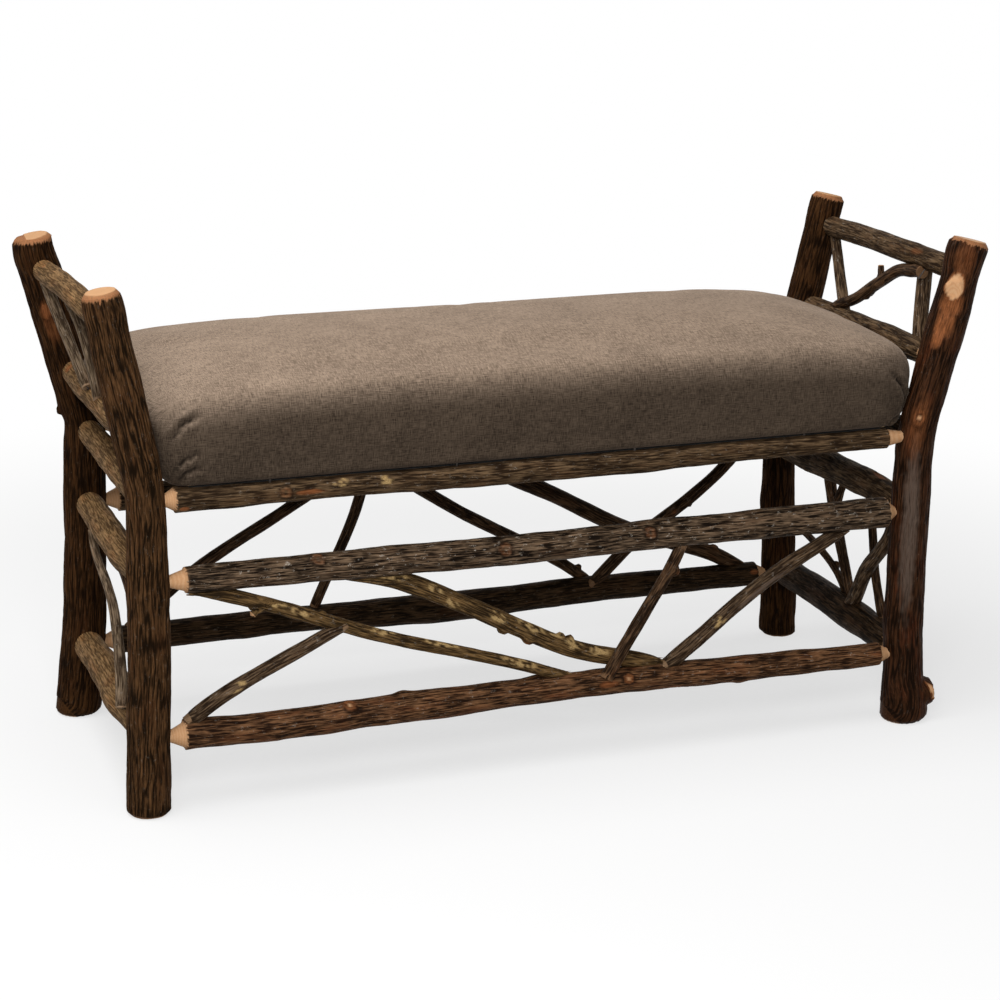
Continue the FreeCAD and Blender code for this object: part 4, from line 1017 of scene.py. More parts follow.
class Shades:
    """A short way to write a node material."""

    def __init__(self, name):
        self.material = bpy.data.materials.new(name)
        self.material.use_nodes = True
        self.nodes = self.material.node_tree.nodes
        self.links = self.material.node_tree.links
        self.nodes.clear()
        self.surface = self.nodes.new("ShaderNodeBsdfPrincipled")
        output = self.nodes.new("ShaderNodeOutputMaterial")
        self.links.new(self.surface.outputs["BSDF"], output.inputs["Surface"])

    def put(self, socket, value):
        """Joins a socket to an output, or sets its value."""
        if isinstance(value, bpy.types.NodeSocket):
            self.links.new(value, socket)
        elif isinstance(value, tuple) and len(value) == 3 and socket.type == "RGBA":
            socket.default_value = (*value, 1.0)
        else:
            socket.default_value = value

    def attribute(self, name, output="Fac"):
        """A value or vector that the mesh carries."""
        node = self.nodes.new("ShaderNodeAttribute")
        node.attribute_name = name
        return node.outputs[output]

    def place(self):
        """The object's own coordinates."""
        return self.nodes.new("ShaderNodeTexCoord").outputs["Object"]

    def stretch(self, vector, across, second, along):
        """A vector with each of its parts scaled."""
        node = self.nodes.new("ShaderNodeVectorMath")
        node.operation = "MULTIPLY"
        self.put(node.inputs[0], vector)
        self.put(node.inputs[1], (across, second, along))
        return node.outputs[0]

    def noise(self, vector, scale, detail=3.0, roughness=0.55, distortion=0.0):
        """Noise from 0 to 1."""
        node = self.nodes.new("ShaderNodeTexNoise")
        self.put(node.inputs["Vector"], vector)
        self.put(node.inputs["Scale"], scale)
        self.put(node.inputs["Detail"], detail)
        self.put(node.inputs["Roughness"], roughness)
        self.put(node.inputs["Distortion"], distortion)
        return node.outputs["Fac"]

    def band(self, value, low, high, first=0.0, last=1.0):
        """A value moved evenly from one range to another, and kept in it."""
        node = self.nodes.new("ShaderNodeMapRange")
        node.interpolation_type = "SMOOTHSTEP"
        self.put(node.inputs["Value"], value)
        self.put(node.inputs["From Min"], low)
        self.put(node.inputs["From Max"], high)
        self.put(node.inputs["To Min"], first)
        self.put(node.inputs["To Max"], last)
        return node.outputs["Result"]

    def math(self, operation, first, second=0.0):
        """A sum, product or other operation on one value or two."""
        node = self.nodes.new("ShaderNodeMath")
        node.operation = operation
        self.put(node.inputs[0], first)
        self.put(node.inputs[1], second)
        return node.outputs[0]

    def times(self, first, second):
        """The product of two values."""
        return self.math("MULTIPLY", first, second)

    def plus(self, first, second):
        """The sum of two values."""
        return self.math("ADD", first, second)

    def parts(self, vector):
        """The three parts of a vector."""
        node = self.nodes.new("ShaderNodeSeparateXYZ")
        self.put(node.inputs[0], vector)
        return node.outputs

    def mix(self, share, first, second):
        """Two colours mixed by a share."""
        node = self.nodes.new("ShaderNodeMix")
        node.data_type = "RGBA"
        self.put(node.inputs[0], share)
        self.put(node.inputs[6], first)
        self.put(node.inputs[7], second)
        return node.outputs[2]

    def blend(self, share, first, second):
        """Two values mixed by a share."""
        node = self.nodes.new("ShaderNodeMix")
        self.put(node.inputs[0], share)
        self.put(node.inputs[2], first)
        self.put(node.inputs[3], second)
        return node.outputs[0]

    def finish(self, socket, value):
        """Joins or sets one of the surface's own sockets."""
        self.put(self.surface.inputs[socket], value)

    def bump(self, height, strength, distance):
        """Fine relief that is too small for the mesh."""
        node = self.nodes.new("ShaderNodeBump")
        self.put(node.inputs["Strength"], strength)
        self.put(node.inputs["Distance"], distance)
        self.put(node.inputs["Height"], height)
        return node.outputs["Normal"]


def bark_finish(name):
    """Bark with fibres, flakes and patches, painted shade in its furrows, painted highlights on its pale
    marks, and bare, sawn, scarred and lichened places on it.
    """
    if name in bpy.data.materials:
        return bpy.data.materials[name]
    dark, light, cast, roughness, flecked = BARKS[name]
    colours = bpy.context.scene.bench_wood
    shades = Shades(name)
    times = shades.times
    band = shades.band
    grain = shades.attribute("grain", "Vector")
    furrow = shades.attribute("furrow")
    fibres = shades.noise(shades.stretch(grain, 1.0, 1.0, 0.06), 620.0, 4.0, 0.62)
    flakes = shades.noise(shades.stretch(grain, 1.0, 1.0, 0.22), 260.0, 3.0, 0.6, 0.4)
    patches = shades.noise(shades.stretch(grain, 1.0, 1.0, 0.3), 42.0, 3.0, 0.6)
    specks = shades.noise(shades.stretch(grain, 1.0, 1.0, 0.5), 900.0, 2.0, 0.6)
    spots = shades.noise(shades.stretch(grain, 1.0, 1.0, 0.6), 170.0, 4.0, 0.7)
    fibrous = shades.plus(times(fibres, 0.6), times(flakes, 0.4))
    # Painted shade: the tone drops where a point lies deep in a furrow.
    tone = shades.math("SUBTRACT", shades.plus(fibrous, 0.04), times(furrow, 0.26))
    tone = shades.plus(tone, times(shades.math("SUBTRACT", patches, 0.5), 0.45))
    bark = shades.mix(band(tone, 0.28, 0.74), dark, light)
    casts = shades.mix(band(fibres, 0.3, 0.7), dark, cast)
    bark = shades.mix(band(patches, 0.50, 0.70, 0.0, 0.7), bark, casts)
    flecks = times(band(spots, 0.58, 0.66), band(specks, 0.42, 0.60))
    bark = shades.mix(times(flecks, flecked), bark, tuple(colours.flecks))
    # Painted shade: the furrows are darkened further towards the dark bark colour.
    bark = shades.mix(times(furrow, 0.7), bark, tuple(0.7 * part for part in dark))
    # Painted highlight: pale bark colour where a pale mark lies.
    pale_highlight_share = times(shades.attribute("pale"), band(fibres, 0.25, 0.6, 0.25, 0.9))
    bark = shades.mix(pale_highlight_share, bark, tuple(colours.pale))
    bark = shades.mix(shades.attribute("ring"), bark, dark)
    lichen_share = times(shades.attribute("lichen"), band(specks, 0.30, 0.55, 0.35, 1.0))
    bark = shades.mix(lichen_share, bark, tuple(colours.lichen))
    inner = tuple(colours.inner_bark)
    bast = shades.mix(band(fibres, 0.35, 0.65), tuple(0.5 * part for part in inner), inner)
    bast_share = times(shades.attribute("bast"), band(flakes, 0.25, 0.55, 0.55, 1.0))
    bark = shades.mix(bast_share, bark, bast)
    wood = sawn_wood_colour(shades, grain, fibres, colours)
    shades.finish("Base Color", shades.mix(shades.attribute("sawn"), bark, wood))
    shades.finish("Roughness", band(tone, 0.3, 0.7, roughness + 0.12, roughness - 0.08))
    shades.finish("Specular IOR Level", 0.03)
    shades.finish("Normal", shades.bump(fibrous, 0.6, 0.0012))
    return shades.material


def sawn_wood_colour(shades, grain, fibres, colours):
    """Peach-coloured wood with faint year rings and a redder rim."""
    ring_turns = 3600.0
    ring_wander = 0.002
    across = shades.parts(grain)
    squares = [shades.math("POWER", across[axis], 2.0) for axis in range(2)]
    radius = shades.math("SQRT", shades.plus(*squares))
    wandered = shades.plus(radius, shades.times(shades.noise(grain, 120.0, 2.0), ring_wander))
    rings = shades.math("SINE", shades.times(wandered, ring_turns))
    sawn = tuple(colours.sawn)
    deep = tuple(part * share for part, share in zip(sawn, (0.88, 0.72, 0.58)))
    wood = shades.mix(shades.band(rings, -1.0, 1.0, 0.0, 0.55), sawn, deep)
    return shades.mix(shades.band(fibres, 0.4, 0.75, 0.0, 0.35), wood, deep)


def crossed_threads(shades, cloth, density):
    """The tone of threads that cross, some thin and some thick, from 0 to 1."""
    tone = None
    for scale, share in ((density, 0.32), (0.45 * density, 0.18)):
        for stretch in ((0.06, 1.0, 1.0), (1.0, 0.07, 1.0)):
            thread = shades.noise(shades.stretch(cloth, *stretch), scale, 2.0, 0.5)
            part = shades.times(thread, share)
            tone = part if tone is None else shades.plus(tone, part)
    return tone


def tweed_finish():
    """Heathered tweed: dark and light yarns crossing, with slubs, lighter yarns painted on as light where it
    faces up, and painted shade in its creases.
    """
    looks = bpy.context.scene.bench_seat
    shades = Shades("seat_tweed")
    on_body = crossed_threads(shades, shades.attribute("cloth", "Vector"), looks.thread_density)
    on_ends = crossed_threads(shades, shades.attribute("end_cloth", "Vector"), looks.thread_density)
    tone = shades.blend(shades.band(shades.attribute("end_share"), 0.35, 0.65), on_body, on_ends)
    cloudy = shades.noise(shades.place(), 14.0, 3.0, 0.5)
    tone = shades.plus(tone, shades.times(shades.math("SUBTRACT", cloudy, 0.5), 0.10))
    # Painted light: lighter yarns where the cover faces up.
    faded = shades.attribute("faded")
    dark = shades.mix(faded, tuple(looks.dark_yarn), tuple(looks.painted_lit_dark_yarn))
    light = shades.mix(faded, tuple(looks.light_yarn), tuple(looks.painted_lit_light_yarn))
    yarn = shades.mix(shades.band(tone, 0.40, 0.60), dark, light)
    # Painted shade in the creases.
    yarn = shades.mix(shades.attribute("fold"), yarn, tuple(0.4 * part for part in looks.dark_yarn))
    shades.finish("Base Color", yarn)
    shades.finish("Roughness", 0.92)
    shades.finish("Sheen Weight", 0.2)
    shades.finish("Sheen Roughness", 0.35)
    shades.finish("Sheen Tint", (1.0, 0.80, 0.64))
    shades.finish("Specular IOR Level", 0.10)
    shades.finish("Normal", shades.bump(tone, 0.5, 0.0010))
    return shades.material


def plain_finish(name, dark, light, roughness, scale, metallic=0.0):
    """A simple two-tone finish on the piece's own coordinates."""
    shades = Shades(name)
    tone = shades.noise(shades.place(), scale, 4.0, 0.6)
    fine = shades.noise(shades.place(), scale * 6.0, 2.0, 0.6)
    mixed = shades.plus(shades.times(tone, 0.7), shades.times(fine, 0.3))
    shades.finish("Base Color", shades.mix(shades.band(mixed, 0.35, 0.65), dark, light))
    shades.finish("Roughness", shades.band(mixed, 0.35, 0.65, roughness + 0.08, roughness - 0.06))
    shades.finish("Metallic", metallic)
    shades.finish("Normal", shades.bump(fine, 0.2, 0.0004))
    return shades.material


def plywood_finish():
    """Plywood: pale faces with long grain, and dark and light plies on the edges."""
    ply_pair = 0.0050
    shades = Shades("plywood_faces")
    place = shades.place()
    height = shades.parts(place)[2]
    grain = shades.noise(shades.stretch(place, 0.06, 1.0, 1.0), 140.0, 4.0, 0.6, 0.6)
    plies = shades.math("SINE", shades.times(height, FULL_TURN / ply_pair))
    face = shades.mix(shades.band(grain, 0.35, 0.65), (0.40, 0.25, 0.12), (0.60, 0.42, 0.24))
    plied = shades.mix(shades.band(plies, -0.2, 0.6, 0.0, 0.35), face, (0.26, 0.15, 0.07))
    shades.finish("Base Color", plied)
    shades.finish("Roughness", 0.7)
    shades.finish("Normal", shades.bump(grain, 0.25, 0.0005))
    return shades.material


def cloth_places(points, middle, half_depth, half_height):
    """Where each point of the cover lies on the flat cloth: along the bench and round its section."""
    along, across, height = (points - middle).T
    corner = half_depth - half_height
    side = np.clip(np.abs(across) - corner, 0.0, None)
    turn = np.minimum(np.arctan2(side, np.maximum(height, 1e-6)), math.pi / 2.0)
    under = np.clip(-height, 0.0, None)
    run_round = np.sign(across) * (np.minimum(np.abs(across), corner) + half_height * turn + under)
    return np.stack([along, run_round, np.zeros(len(points))], 1)


def swell_room(points, looks):
    """How far each point of the cushion may move: not at its underside, nor into a post."""
    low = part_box("seat_cover")[0]
    room = looks.swell_cap * smooth(low.z + 0.006, low.z + 0.04, points[:, 2])
    for name in POSTS:
        tree = node_tree(name)
        post_low, post_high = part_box(name)
        middle = (post_low + post_high) / 2.0
        near = np.abs(points[:, 0] - middle.x) < 0.16
        near &= np.abs(points[:, 1] - middle.y) < 0.12
        for index in np.nonzero(near)[0]:
            found = tree.find_nearest(Vector(points[index]), 0.05)
            if found[0] is not None:
                room[index] = min(room[index], max(found[3] - looks.post_gap, 0.0))
    return room


def round_shoulders(piece, rounds):
    """Rounds a cushion's upper edges, as its filling does, and leaves its underside flat."""
    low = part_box("seat_cover")[0]
    group = piece.vertex_groups.new(name="upper")
    weights = smooth(low.z + 0.02, low.z + 0.06, mesh_vectors(piece.data, "co")[:, 2])
    for index, weight in enumerate(weights):
        group.add([index], float(weight), "REPLACE")
    rounder = piece.modifiers.new("round", "SMOOTH")
    rounder.iterations = rounds
    rounder.vertex_group = group.name
    apply_modifiers(piece)
    piece.vertex_groups.clear()


def plump_ends(before, normals, looks):
    """The bulge of the cushion's two ends, largest at half height."""
    low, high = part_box("seat_cover")
    height = (before[:, 2] - low.z) / (high.z - low.z)
    bulge = smooth(0.0, 0.4, height) * smooth(1.0, 0.55, height) * smooth(0.2, 0.9, np.abs(normals[:, 0]))
    move = np.zeros(before.shape)
    move[:, 0] = np.sign(normals[:, 0]) * bulge * looks.end_bulge
    return move


def settle_cover(cover, looks):
    """Swells the cover over its foam with the cloth solver, and caps how far it moves."""
    frames = 20
    before = mesh_vectors(cover.data, "co")
    normals = mesh_vectors(cover.data, "normal")
    cloth = cover.modifiers.new("swell", "CLOTH")
    settings = cloth.settings
    settings.quality = 5
    settings.mass = 0.3
    settings.tension_stiffness = 12.0
    settings.compression_stiffness = 12.0
    settings.shear_stiffness = 6.0
    settings.bending_stiffness = 0.6
    settings.use_pressure = True
    settings.uniform_pressure_force = 4.0
    settings.effector_weights.gravity = 0.0
    cloth.collision_settings.use_collision = False
    scene = bpy.context.scene
    for step in range(1, frames + 1):
        scene.frame_set(step)
    depsgraph = bpy.context.evaluated_depsgraph_get()
    swollen = bpy.data.meshes.new_from_object(cover.evaluated_get(depsgraph))
    after = mesh_vectors(swollen, "co")
    cover.modifiers.remove(cloth)
    scene.frame_set(1)
    bpy.data.meshes.remove(swollen)
    move = after - before
    inwards = (move * normals).sum(1) < 0.0
    move[inwards] *= looks.sink_share
    move *= (1.0, looks.depth_share, looks.rise_share)
    return move


def remeshed_copy(name, nodes, voxel, grow):
    """A closed, even-faced form round soft CAD nodes, a little larger or smaller than them."""
    meshes = [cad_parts[node].data.copy() for node in nodes]
    mesh = meshes[0] if len(meshes) == 1 else joined_meshes(name, meshes)
    piece = linked(name, mesh)
    weld = piece.modifiers.new("weld", "WELD")
    weld.merge_threshold = 0.05 * MM
    remesh = piece.modifiers.new("remesh", "REMESH")
    remesh.mode = "VOXEL"
    remesh.voxel_size = voxel
    remesh.adaptivity = 0.0
    evened = piece.modifiers.new("even", "SMOOTH")
    evened.iterations = 3
    apply_modifiers(piece)
    result = piece.data
    result.name = name
    if grow:
        points = mesh_vectors(result, "co")
        normals = mesh_vectors(result, "normal")
        result.vertices.foreach_set("co", (points + normals * grow).ravel())
        result.update()
    return piece


def finer(piece, levels):
    """Subdivides a piece."""
    smoother = piece.modifiers.new("finer", "SUBSURF")
    smoother.levels = levels
    smoother.render_levels = levels
    apply_modifiers(piece)


def apply_modifiers(piece):
    """Makes a piece's modifiers part of its mesh."""
    depsgraph = bpy.context.evaluated_depsgraph_get()
    result = bpy.data.meshes.new_from_object(piece.evaluated_get(depsgraph))
    piece.modifiers.clear()
    piece.data = result


def line_gap(points, places):
    """How far each point is from a line through several places, and how far along it, from 0 to 1."""
    gap = np.full(len(points), 1.0)
    share = np.zeros(len(points))
    for number, (start, end) in enumerate(zip(places, places[1:])):
        way = end - start
        part = np.clip(((points - start) @ way) / (way @ way), 0.0, 1.0)
        away = np.linalg.norm(points - start - part[:, None] * way, axis=1)
        nearer = away < gap
        gap[nearer] = away[nearer]
        share[nearer] = (number + part[nearer]) / (len(places) - 1)
    return gap, share


def press_creases(mesh):
    """Folds pressed into the cover's corners: those in the photograph, and their like at the back, with
    painted shade along them.
    """
    points = mesh_vectors(mesh, "co")
    normals = mesh_vectors(mesh, "normal")
    middle = sum(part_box("seat_cover"), Vector()) / 2.0
    move = np.zeros(len(points))
    fold = np.zeros(len(points))
    for pixels, depth, width in COVER_CREASES:
        places = [points[np.argmin(pixel_miss(points, normals, *pixel))] for pixel in pixels]
        copies = [places, [place * (1.0, -1.0, 1.0) + (0.0, 2.0 * middle.y, 0.0) for place in places]]
        for line in copies:
            gap, share = line_gap(points, line)
            fade = smooth(0.0, 0.18, share) * smooth(1.0, 0.72, share) + 0.25
            move -= depth * fade * np.exp(-(gap / width) ** 2)
            # Painted shade along each crease.
            fold = np.maximum(fold, 0.9 * fade * np.exp(-(gap / (0.5 * width)) ** 2))
            move += 0.5 * depth * fade * np.exp(-((gap - 2.2 * width) / (1.1 * width)) ** 2)
    mesh.vertices.foreach_set("co", (points + normals * move[:, None]).ravel())
    mesh.update()
    wear_values(mesh, "fold", np.clip(fold, 0.0, 1.0))


def open_underside(mesh):
    """Cuts the window in the cover's underside, inside its tacked flange."""
    low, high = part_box("seat_board")
    flange = bpy.context.scene.bench_seat.flange
    doomed = []
    form = bmesh.new()
    form.from_mesh(mesh)
    for face in form.faces:
        place = face.calc_center_median()
        inside = low.x + flange < place.x < high.x - flange and low.y + flange < place.y < high.y - flange
        if inside and place.z < high.z and face.normal.z < -0.5:
            doomed.append(face)
    bmesh.ops.delete(form, geom=doomed, context="FACES")
    form.to_mesh(mesh)
    form.free()


def dress_cover():
    """The tweed cover: swollen over its foam, creased at its corners and open under the board."""
    looks = bpy.context.scene.bench_seat
    cover = remeshed_copy("tweed_cover", ["seat_cover", "seat_foam", "seat_board"], looks.voxel, 0.0)
    round_shoulders(cover, looks.shoulder_rounds)
    before = mesh_vectors(cover.data, "co")
    move = plump_ends(before, mesh_vectors(cover.data, "normal"), looks)
    move += settle_cover(cover, looks)
    length = np.linalg.norm(move, axis=1)
    move *= (np.minimum(length, swell_room(before, looks)) / np.maximum(length, 1e-9))[:, None]
    cover.data.vertices.foreach_set("co", (before + move).ravel())
    cover.data.update()
    finer(cover, 1)
    press_creases(cover.data)
    open_underside(cover.data)
    low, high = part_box("seat_cover")
    middle = np.array((low + high) / 2.0)
    points = mesh_vectors(cover.data, "co")
    normals = mesh_vectors(cover.data, "normal")
    cloth = cloth_places(points, middle, (high.y - low.y) / 2.0, (high.z - low.z) / 2.0)
    wear_values(cover.data, "cloth", cloth)
    wear_values(cover.data, "end_cloth", points[:, [1, 2, 0]] * (1.0, 1.0, 0.0))
    wear_values(cover.data, "end_share", np.abs(normals[:, 0]))
    # Painted light: how far each point faces up and a little back, towards the light.
    lit = np.clip(normals @ np.array(Vector((0.0, 0.1, 1.0)).normalized()), 0.0, 1.0)
    wear_values(cover.data, "faded", lit ** looks.painted_light_power)
    thick = cover.modifiers.new("cloth", "SOLIDIFY")
    thick.thickness = looks.cloth_thickness
    thick.offset = -1.0
    apply_modifiers(cover)
    cover.data.shade_smooth()
    finish_piece(cover, tweed_finish(), "seat_cover")


def dress_foam():
    """The foam core under the cover."""
    looks = bpy.context.scene.bench_seat
    foam = remeshed_copy("foam_core", ["seat_foam"], looks.voxel, -looks.foam_inset)
    round_shoulders(foam, looks.shoulder_rounds)
    foam.data.shade_smooth()
    cream = plain_finish("cream_foam", (0.62, 0.55, 0.38), (0.78, 0.72, 0.55), 0.9, 260.0)
    finish_piece(foam, cream, "seat_foam")


def dress_board():
    """The plywood board, with its edges eased and its screw holes kept."""
    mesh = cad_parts["seat_board"].data.copy()
    points = mesh_vectors(mesh, "co")
    low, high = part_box("seat_board")
    middle = np.array((low + high) / 2.0)
    half = np.array((high - low) / 2.0)
    inset = bpy.context.scene.bench_seat.board_inset
    eased = np.array([inset, inset, 0.15 * inset])
    mesh.vertices.foreach_set("co", (middle + (points - middle) * (half - eased) / half).ravel())
    mesh.update()
    finish_piece(linked("plywood_board", mesh), plywood_finish(), "seat_board")


def dress_group(group):
    """Dresses all logs of one group."""
    names, strength, width_share, bark, slot, chance_marks = LOG_GROUPS[group]
    for name in names:
        dress_log(name, strength, width_share, bark, chance_marks)
    return {"FINISHED"}


class BENCH_OT_posts(Operator):
    """Dress the four corner posts"""

    bl_idname = "bench.posts"
    bl_label = "Posts"

    def execute(self, context):
        return dress_group("posts")


class BENCH_OT_long_rails(Operator):
    """Dress the six rails that run along the bench"""

    bl_idname = "bench.long_rails"
    bl_label = "Long rails"

    def execute(self, context):
        return dress_group("long_rails")


class BENCH_OT_side_rails(Operator):
    """Dress the ten rails of the two ends"""

    bl_idname = "bench.side_rails"
    bl_label = "Side rails"

    def execute(self, context):
        return dress_group("side_rails")


class BENCH_OT_front_twigs(Operator):
    """Dress the twigs between the front stretchers"""

    bl_idname = "bench.front_twigs"
    bl_label = "Front twigs"

    def execute(self, context):
        return dress_group("front_twigs")


class BENCH_OT_back_twigs(Operator):
    """Dress the twigs between the back rails"""

    bl_idname = "bench.back_twigs"
    bl_label = "Back twigs"

    def execute(self, context):
        return dress_group("back_twigs")


class BENCH_OT_end_twigs(Operator):
    """Dress the twigs of the two ends"""

    bl_idname = "bench.end_twigs"
    bl_label = "End twigs"

    def execute(self, context):
        return dress_group("end_twigs")


class BENCH_OT_cushion(Operator):
    """Make the tweed cushion over its foam"""

    bl_idname = "bench.cushion"
    bl_label = "Cushion"

    def execute(self, context):
        dress_cover()
        dress_foam()
        return {"FINISHED"}


class BENCH_OT_seat_base(Operator):
    """Finish the plywood seat board and the dust cover"""

    bl_idname = "bench.seat_base"
    bl_label = "Seat base"

    def execute(self, context):
        dress_board()
        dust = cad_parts["dust_cover"]
        dust.data.materials.clear()
        dust.data.materials.append(
            plain_finish("black_dust_cloth", (0.012, 0.012, 0.013), (0.035, 0.035, 0.037), 0.95, 900.0)
        )
        return {"FINISHED"}


def loose_solids(mesh):
    """The points of each separate solid of a CAD node's mesh."""
    form = bmesh.new()
    form.from_mesh(mesh)
    bmesh.ops.remove_doubles(form, verts=form.verts, dist=0.00001)
    form.verts.ensure_lookup_table()
    unseen = set(range(len(form.verts)))
    solids = []
    while unseen:
        waiting = [unseen.pop()]
        members = []
        while waiting:
            vertex = form.verts[waiting.pop()]
            members.append(list(vertex.co))
            for edge in vertex.link_edges:
                other = edge.other_vert(vertex).index
                if other in unseen:
                    unseen.remove(other)
                    waiting.append(other)
        solids.append(np.array(members))
    form.free()
    return solids


def measure_pin(points):
    """A nail or screw: its point, its way to the head, its length, and the sizes of shank and head."""
    middle = points.mean(0)
    main = np.linalg.svd(points - middle, full_matrices=False)[2][0]
    along = (points - middle) @ main
    aside = np.linalg.norm(points - middle - along[:, None] * main, axis=1)
    head = aside > 0.75 * aside.max()
    if along[head].mean() < along.mean():
        main = -main
        along = -along
    length = along.max() - along.min()
    shank = float(np.median(aside[along < along.min() + 0.25 * length]))
    thickness = float(along.max() - along[head].min())
    return middle + main * along.min(), main, float(length), shank, float(aside.max()), thickness


class PartTree:
    """A geometry node tree with named inputs, that copies small parts on to the points of a mesh."""

    def __init__(self, name, inputs):
        self.tree = bpy.data.node_groups.new(name, "GeometryNodeTree")
        self.tree.is_modifier = True
        face = self.tree.interface
        face.new_socket("Geometry", in_out="INPUT", socket_type="NodeSocketGeometry")
        self.keys = {
            label: face.new_socket(label, in_out="INPUT", socket_type="NodeSocketFloat").identifier
            for label in inputs
        }
        self.keys["Finish"] = face.new_socket(
            "Finish", in_out="INPUT", socket_type="NodeSocketMaterial"
        ).identifier
        face.new_socket("Geometry", in_out="OUTPUT", socket_type="NodeSocketGeometry")
        self.given = self.tree.nodes.new("NodeGroupInput")
        self.join = self.tree.nodes.new("GeometryNodeJoinGeometry")

    def node(self, kind, links, **settings):
        """A new node with its settings, its sockets joined or set."""
        node = self.tree.nodes.new(kind)
        for name, value in settings.items():
            setattr(node, name, value)
        for place, value in links.items():
            if isinstance(value, bpy.types.NodeSocket):
                self.tree.links.new(value, node.inputs[place])
            else:
                node.inputs[place].default_value = value
        return node

    def math(self, operation, first, second):
        """One operation on two values."""
        return self.node("ShaderNodeMath", {0: first, 1: second}, operation=operation).outputs[0]

    def carried(self, name, kind="FLOAT"):
        """A value or vector that each point carries."""
        node = self.node("GeometryNodeInputNamedAttribute", {}, data_type=kind)
        node.inputs["Name"].default_value = name
        return node.outputs["Attribute"]

    def turned(self, axis):
        """A turn that points one axis of a part along the way of its point."""
        way = self.carried("way", "FLOAT_VECTOR")
        return self.node("FunctionNodeAlignRotationToVector", {"Vector": way}, axis=axis).outputs[0]

    def copies(self, points, part, shift, turn, scale=None):
        """Puts a part, shifted from its own middle, on every point."""
        moved = self.node("GeometryNodeTransform", {"Geometry": part, "Translation": shift}).outputs[0]
        links = {"Points": points, "Instance": moved, "Rotation": turn}
        if scale is not None:
            links["Scale"] = scale
        placed = self.node("GeometryNodeInstanceOnPoints", links).outputs[0]
        self.tree.links.new(placed, self.join.inputs[0])

    def vector(self, x=0.0, y=0.0, z=0.0):
        """A vector from three parts."""
        return self.node("ShaderNodeCombineXYZ", {0: x, 1: y, 2: z}).outputs[0]

    def close(self):
        """Makes the copies real, gives them their finish and ends the tree."""
        real = self.node("GeometryNodeRealizeInstances", {0: self.join.outputs[0]}).outputs[0]
        links = {"Geometry": real, "Material": self.given.outputs["Finish"]}
        finished = self.node("GeometryNodeSetMaterial", links)
        out = self.tree.nodes.new("NodeGroupOutput")
        self.tree.links.new(finished.outputs[0], out.inputs[0])
        return self


def pin_tree():
    """The tree of nails and screws: a shank from each point along its way, with a head on it."""
    parts = PartTree("pins", ("Shank radius", "Head radius", "Head thickness"))
    given = parts.given.outputs
    length = parts.carried("length")
    turn = parts.turned("Z")
    shank = parts.node(
        "GeometryNodeMeshCylinder", {"Vertices": 16, "Radius": given["Shank radius"], "Depth": 1.0}
    ).outputs[0]
    parts.copies(
        given["Geometry"], shank, (0.0, 0.0, 0.5), turn, parts.vector(1.0, 1.0, length)
    )
    way = parts.carried("way", "FLOAT_VECTOR")
    to_head = parts.node("ShaderNodeVectorMath", {0: way, "Scale": length}, operation="SCALE").outputs[0]
    tops = parts.node(
        "GeometryNodeSetPosition", {"Geometry": given["Geometry"], "Offset": to_head}
    ).outputs[0]
    head = parts.node("GeometryNodeMeshCone", {
        "Vertices": 20,
        "Radius Top": parts.math("MULTIPLY", given["Head radius"], 0.9),
        "Radius Bottom": given["Head radius"],
        "Depth": given["Head thickness"],
    }).outputs[0]
    parts.copies(tops, head, parts.vector(z=parts.math("MULTIPLY", given["Head thickness"], -1.0)), turn)
    return parts.close()


def staple_tree():
    """The tree of staples: a crown and two legs on each point, turned along its way."""
    parts = PartTree("staples", ("Crown", "Leg", "Wire"))
    given = parts.given.outputs
    turn = parts.turned("X")
    half_wire = parts.math("MULTIPLY", given["Wire"], 0.5)
    crown = parts.node(
        "GeometryNodeMeshCube", {"Size": parts.vector(given["Crown"], given["Wire"], given["Wire"])}
    ).outputs[0]
    parts.copies(given["Geometry"], crown, parts.vector(z=half_wire), turn)
    leg = parts.node(
        "GeometryNodeMeshCube", {"Size": parts.vector(given["Wire"], given["Wire"], given["Leg"])}
    ).outputs[0]
    aside = parts.math("SUBTRACT", parts.math("MULTIPLY", given["Crown"], 0.5), half_wire)
    half_leg = parts.math("MULTIPLY", given["Leg"], 0.5)
    for side in (aside, parts.math("MULTIPLY", aside, -1.0)):
        parts.copies(given["Geometry"], leg, parts.vector(side, 0.0, half_leg), turn)
    return parts.close()


def grown_fasteners(name, parts, places, ways, lengths, sizes, finish):
    """A plain mesh of one fastener for each place, made by a geometry node tree."""
    mesh = bpy.data.meshes.new(name)
    mesh.from_pydata([list(place) for place in places], [], [])
    wear_values(mesh, "way", np.array(ways))
    wear_values(mesh, "length", np.array(lengths))
    holder = linked(name + "_holder", mesh)
    grower = holder.modifiers.new("grower", "NODES")
    grower.node_group = parts.tree
    for label, value in sizes.items():
        grower[parts.keys[label]] = value
    grower[parts.keys["Finish"]] = finish
    depsgraph = bpy.context.evaluated_depsgraph_get()
    plain = bpy.data.meshes.new_from_object(holder.evaluated_get(depsgraph))
    holder.modifiers.remove(grower)
    bpy.data.objects.remove(holder)
    plain.name = name
    return plain


def dress_pins(name, parts, finish):
    """Makes the nails or screws of one CAD node again, at their measured places and sizes."""
    pins = [measure_pin(points) for points in loose_solids(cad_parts[name].data)]
    places, ways, lengths, shanks, heads, thicknesses = zip(*pins)
    sizes = {
        "Shank radius": float(np.median(shanks)),
        "Head radius": float(np.median(heads)),
        "Head thickness": float(np.median(thicknesses)),
    }
    mesh = grown_fasteners(name + "_grown", parts, places, ways, lengths, sizes, finish)
    finish_piece(linked(name + "_steel", mesh), finish, name)


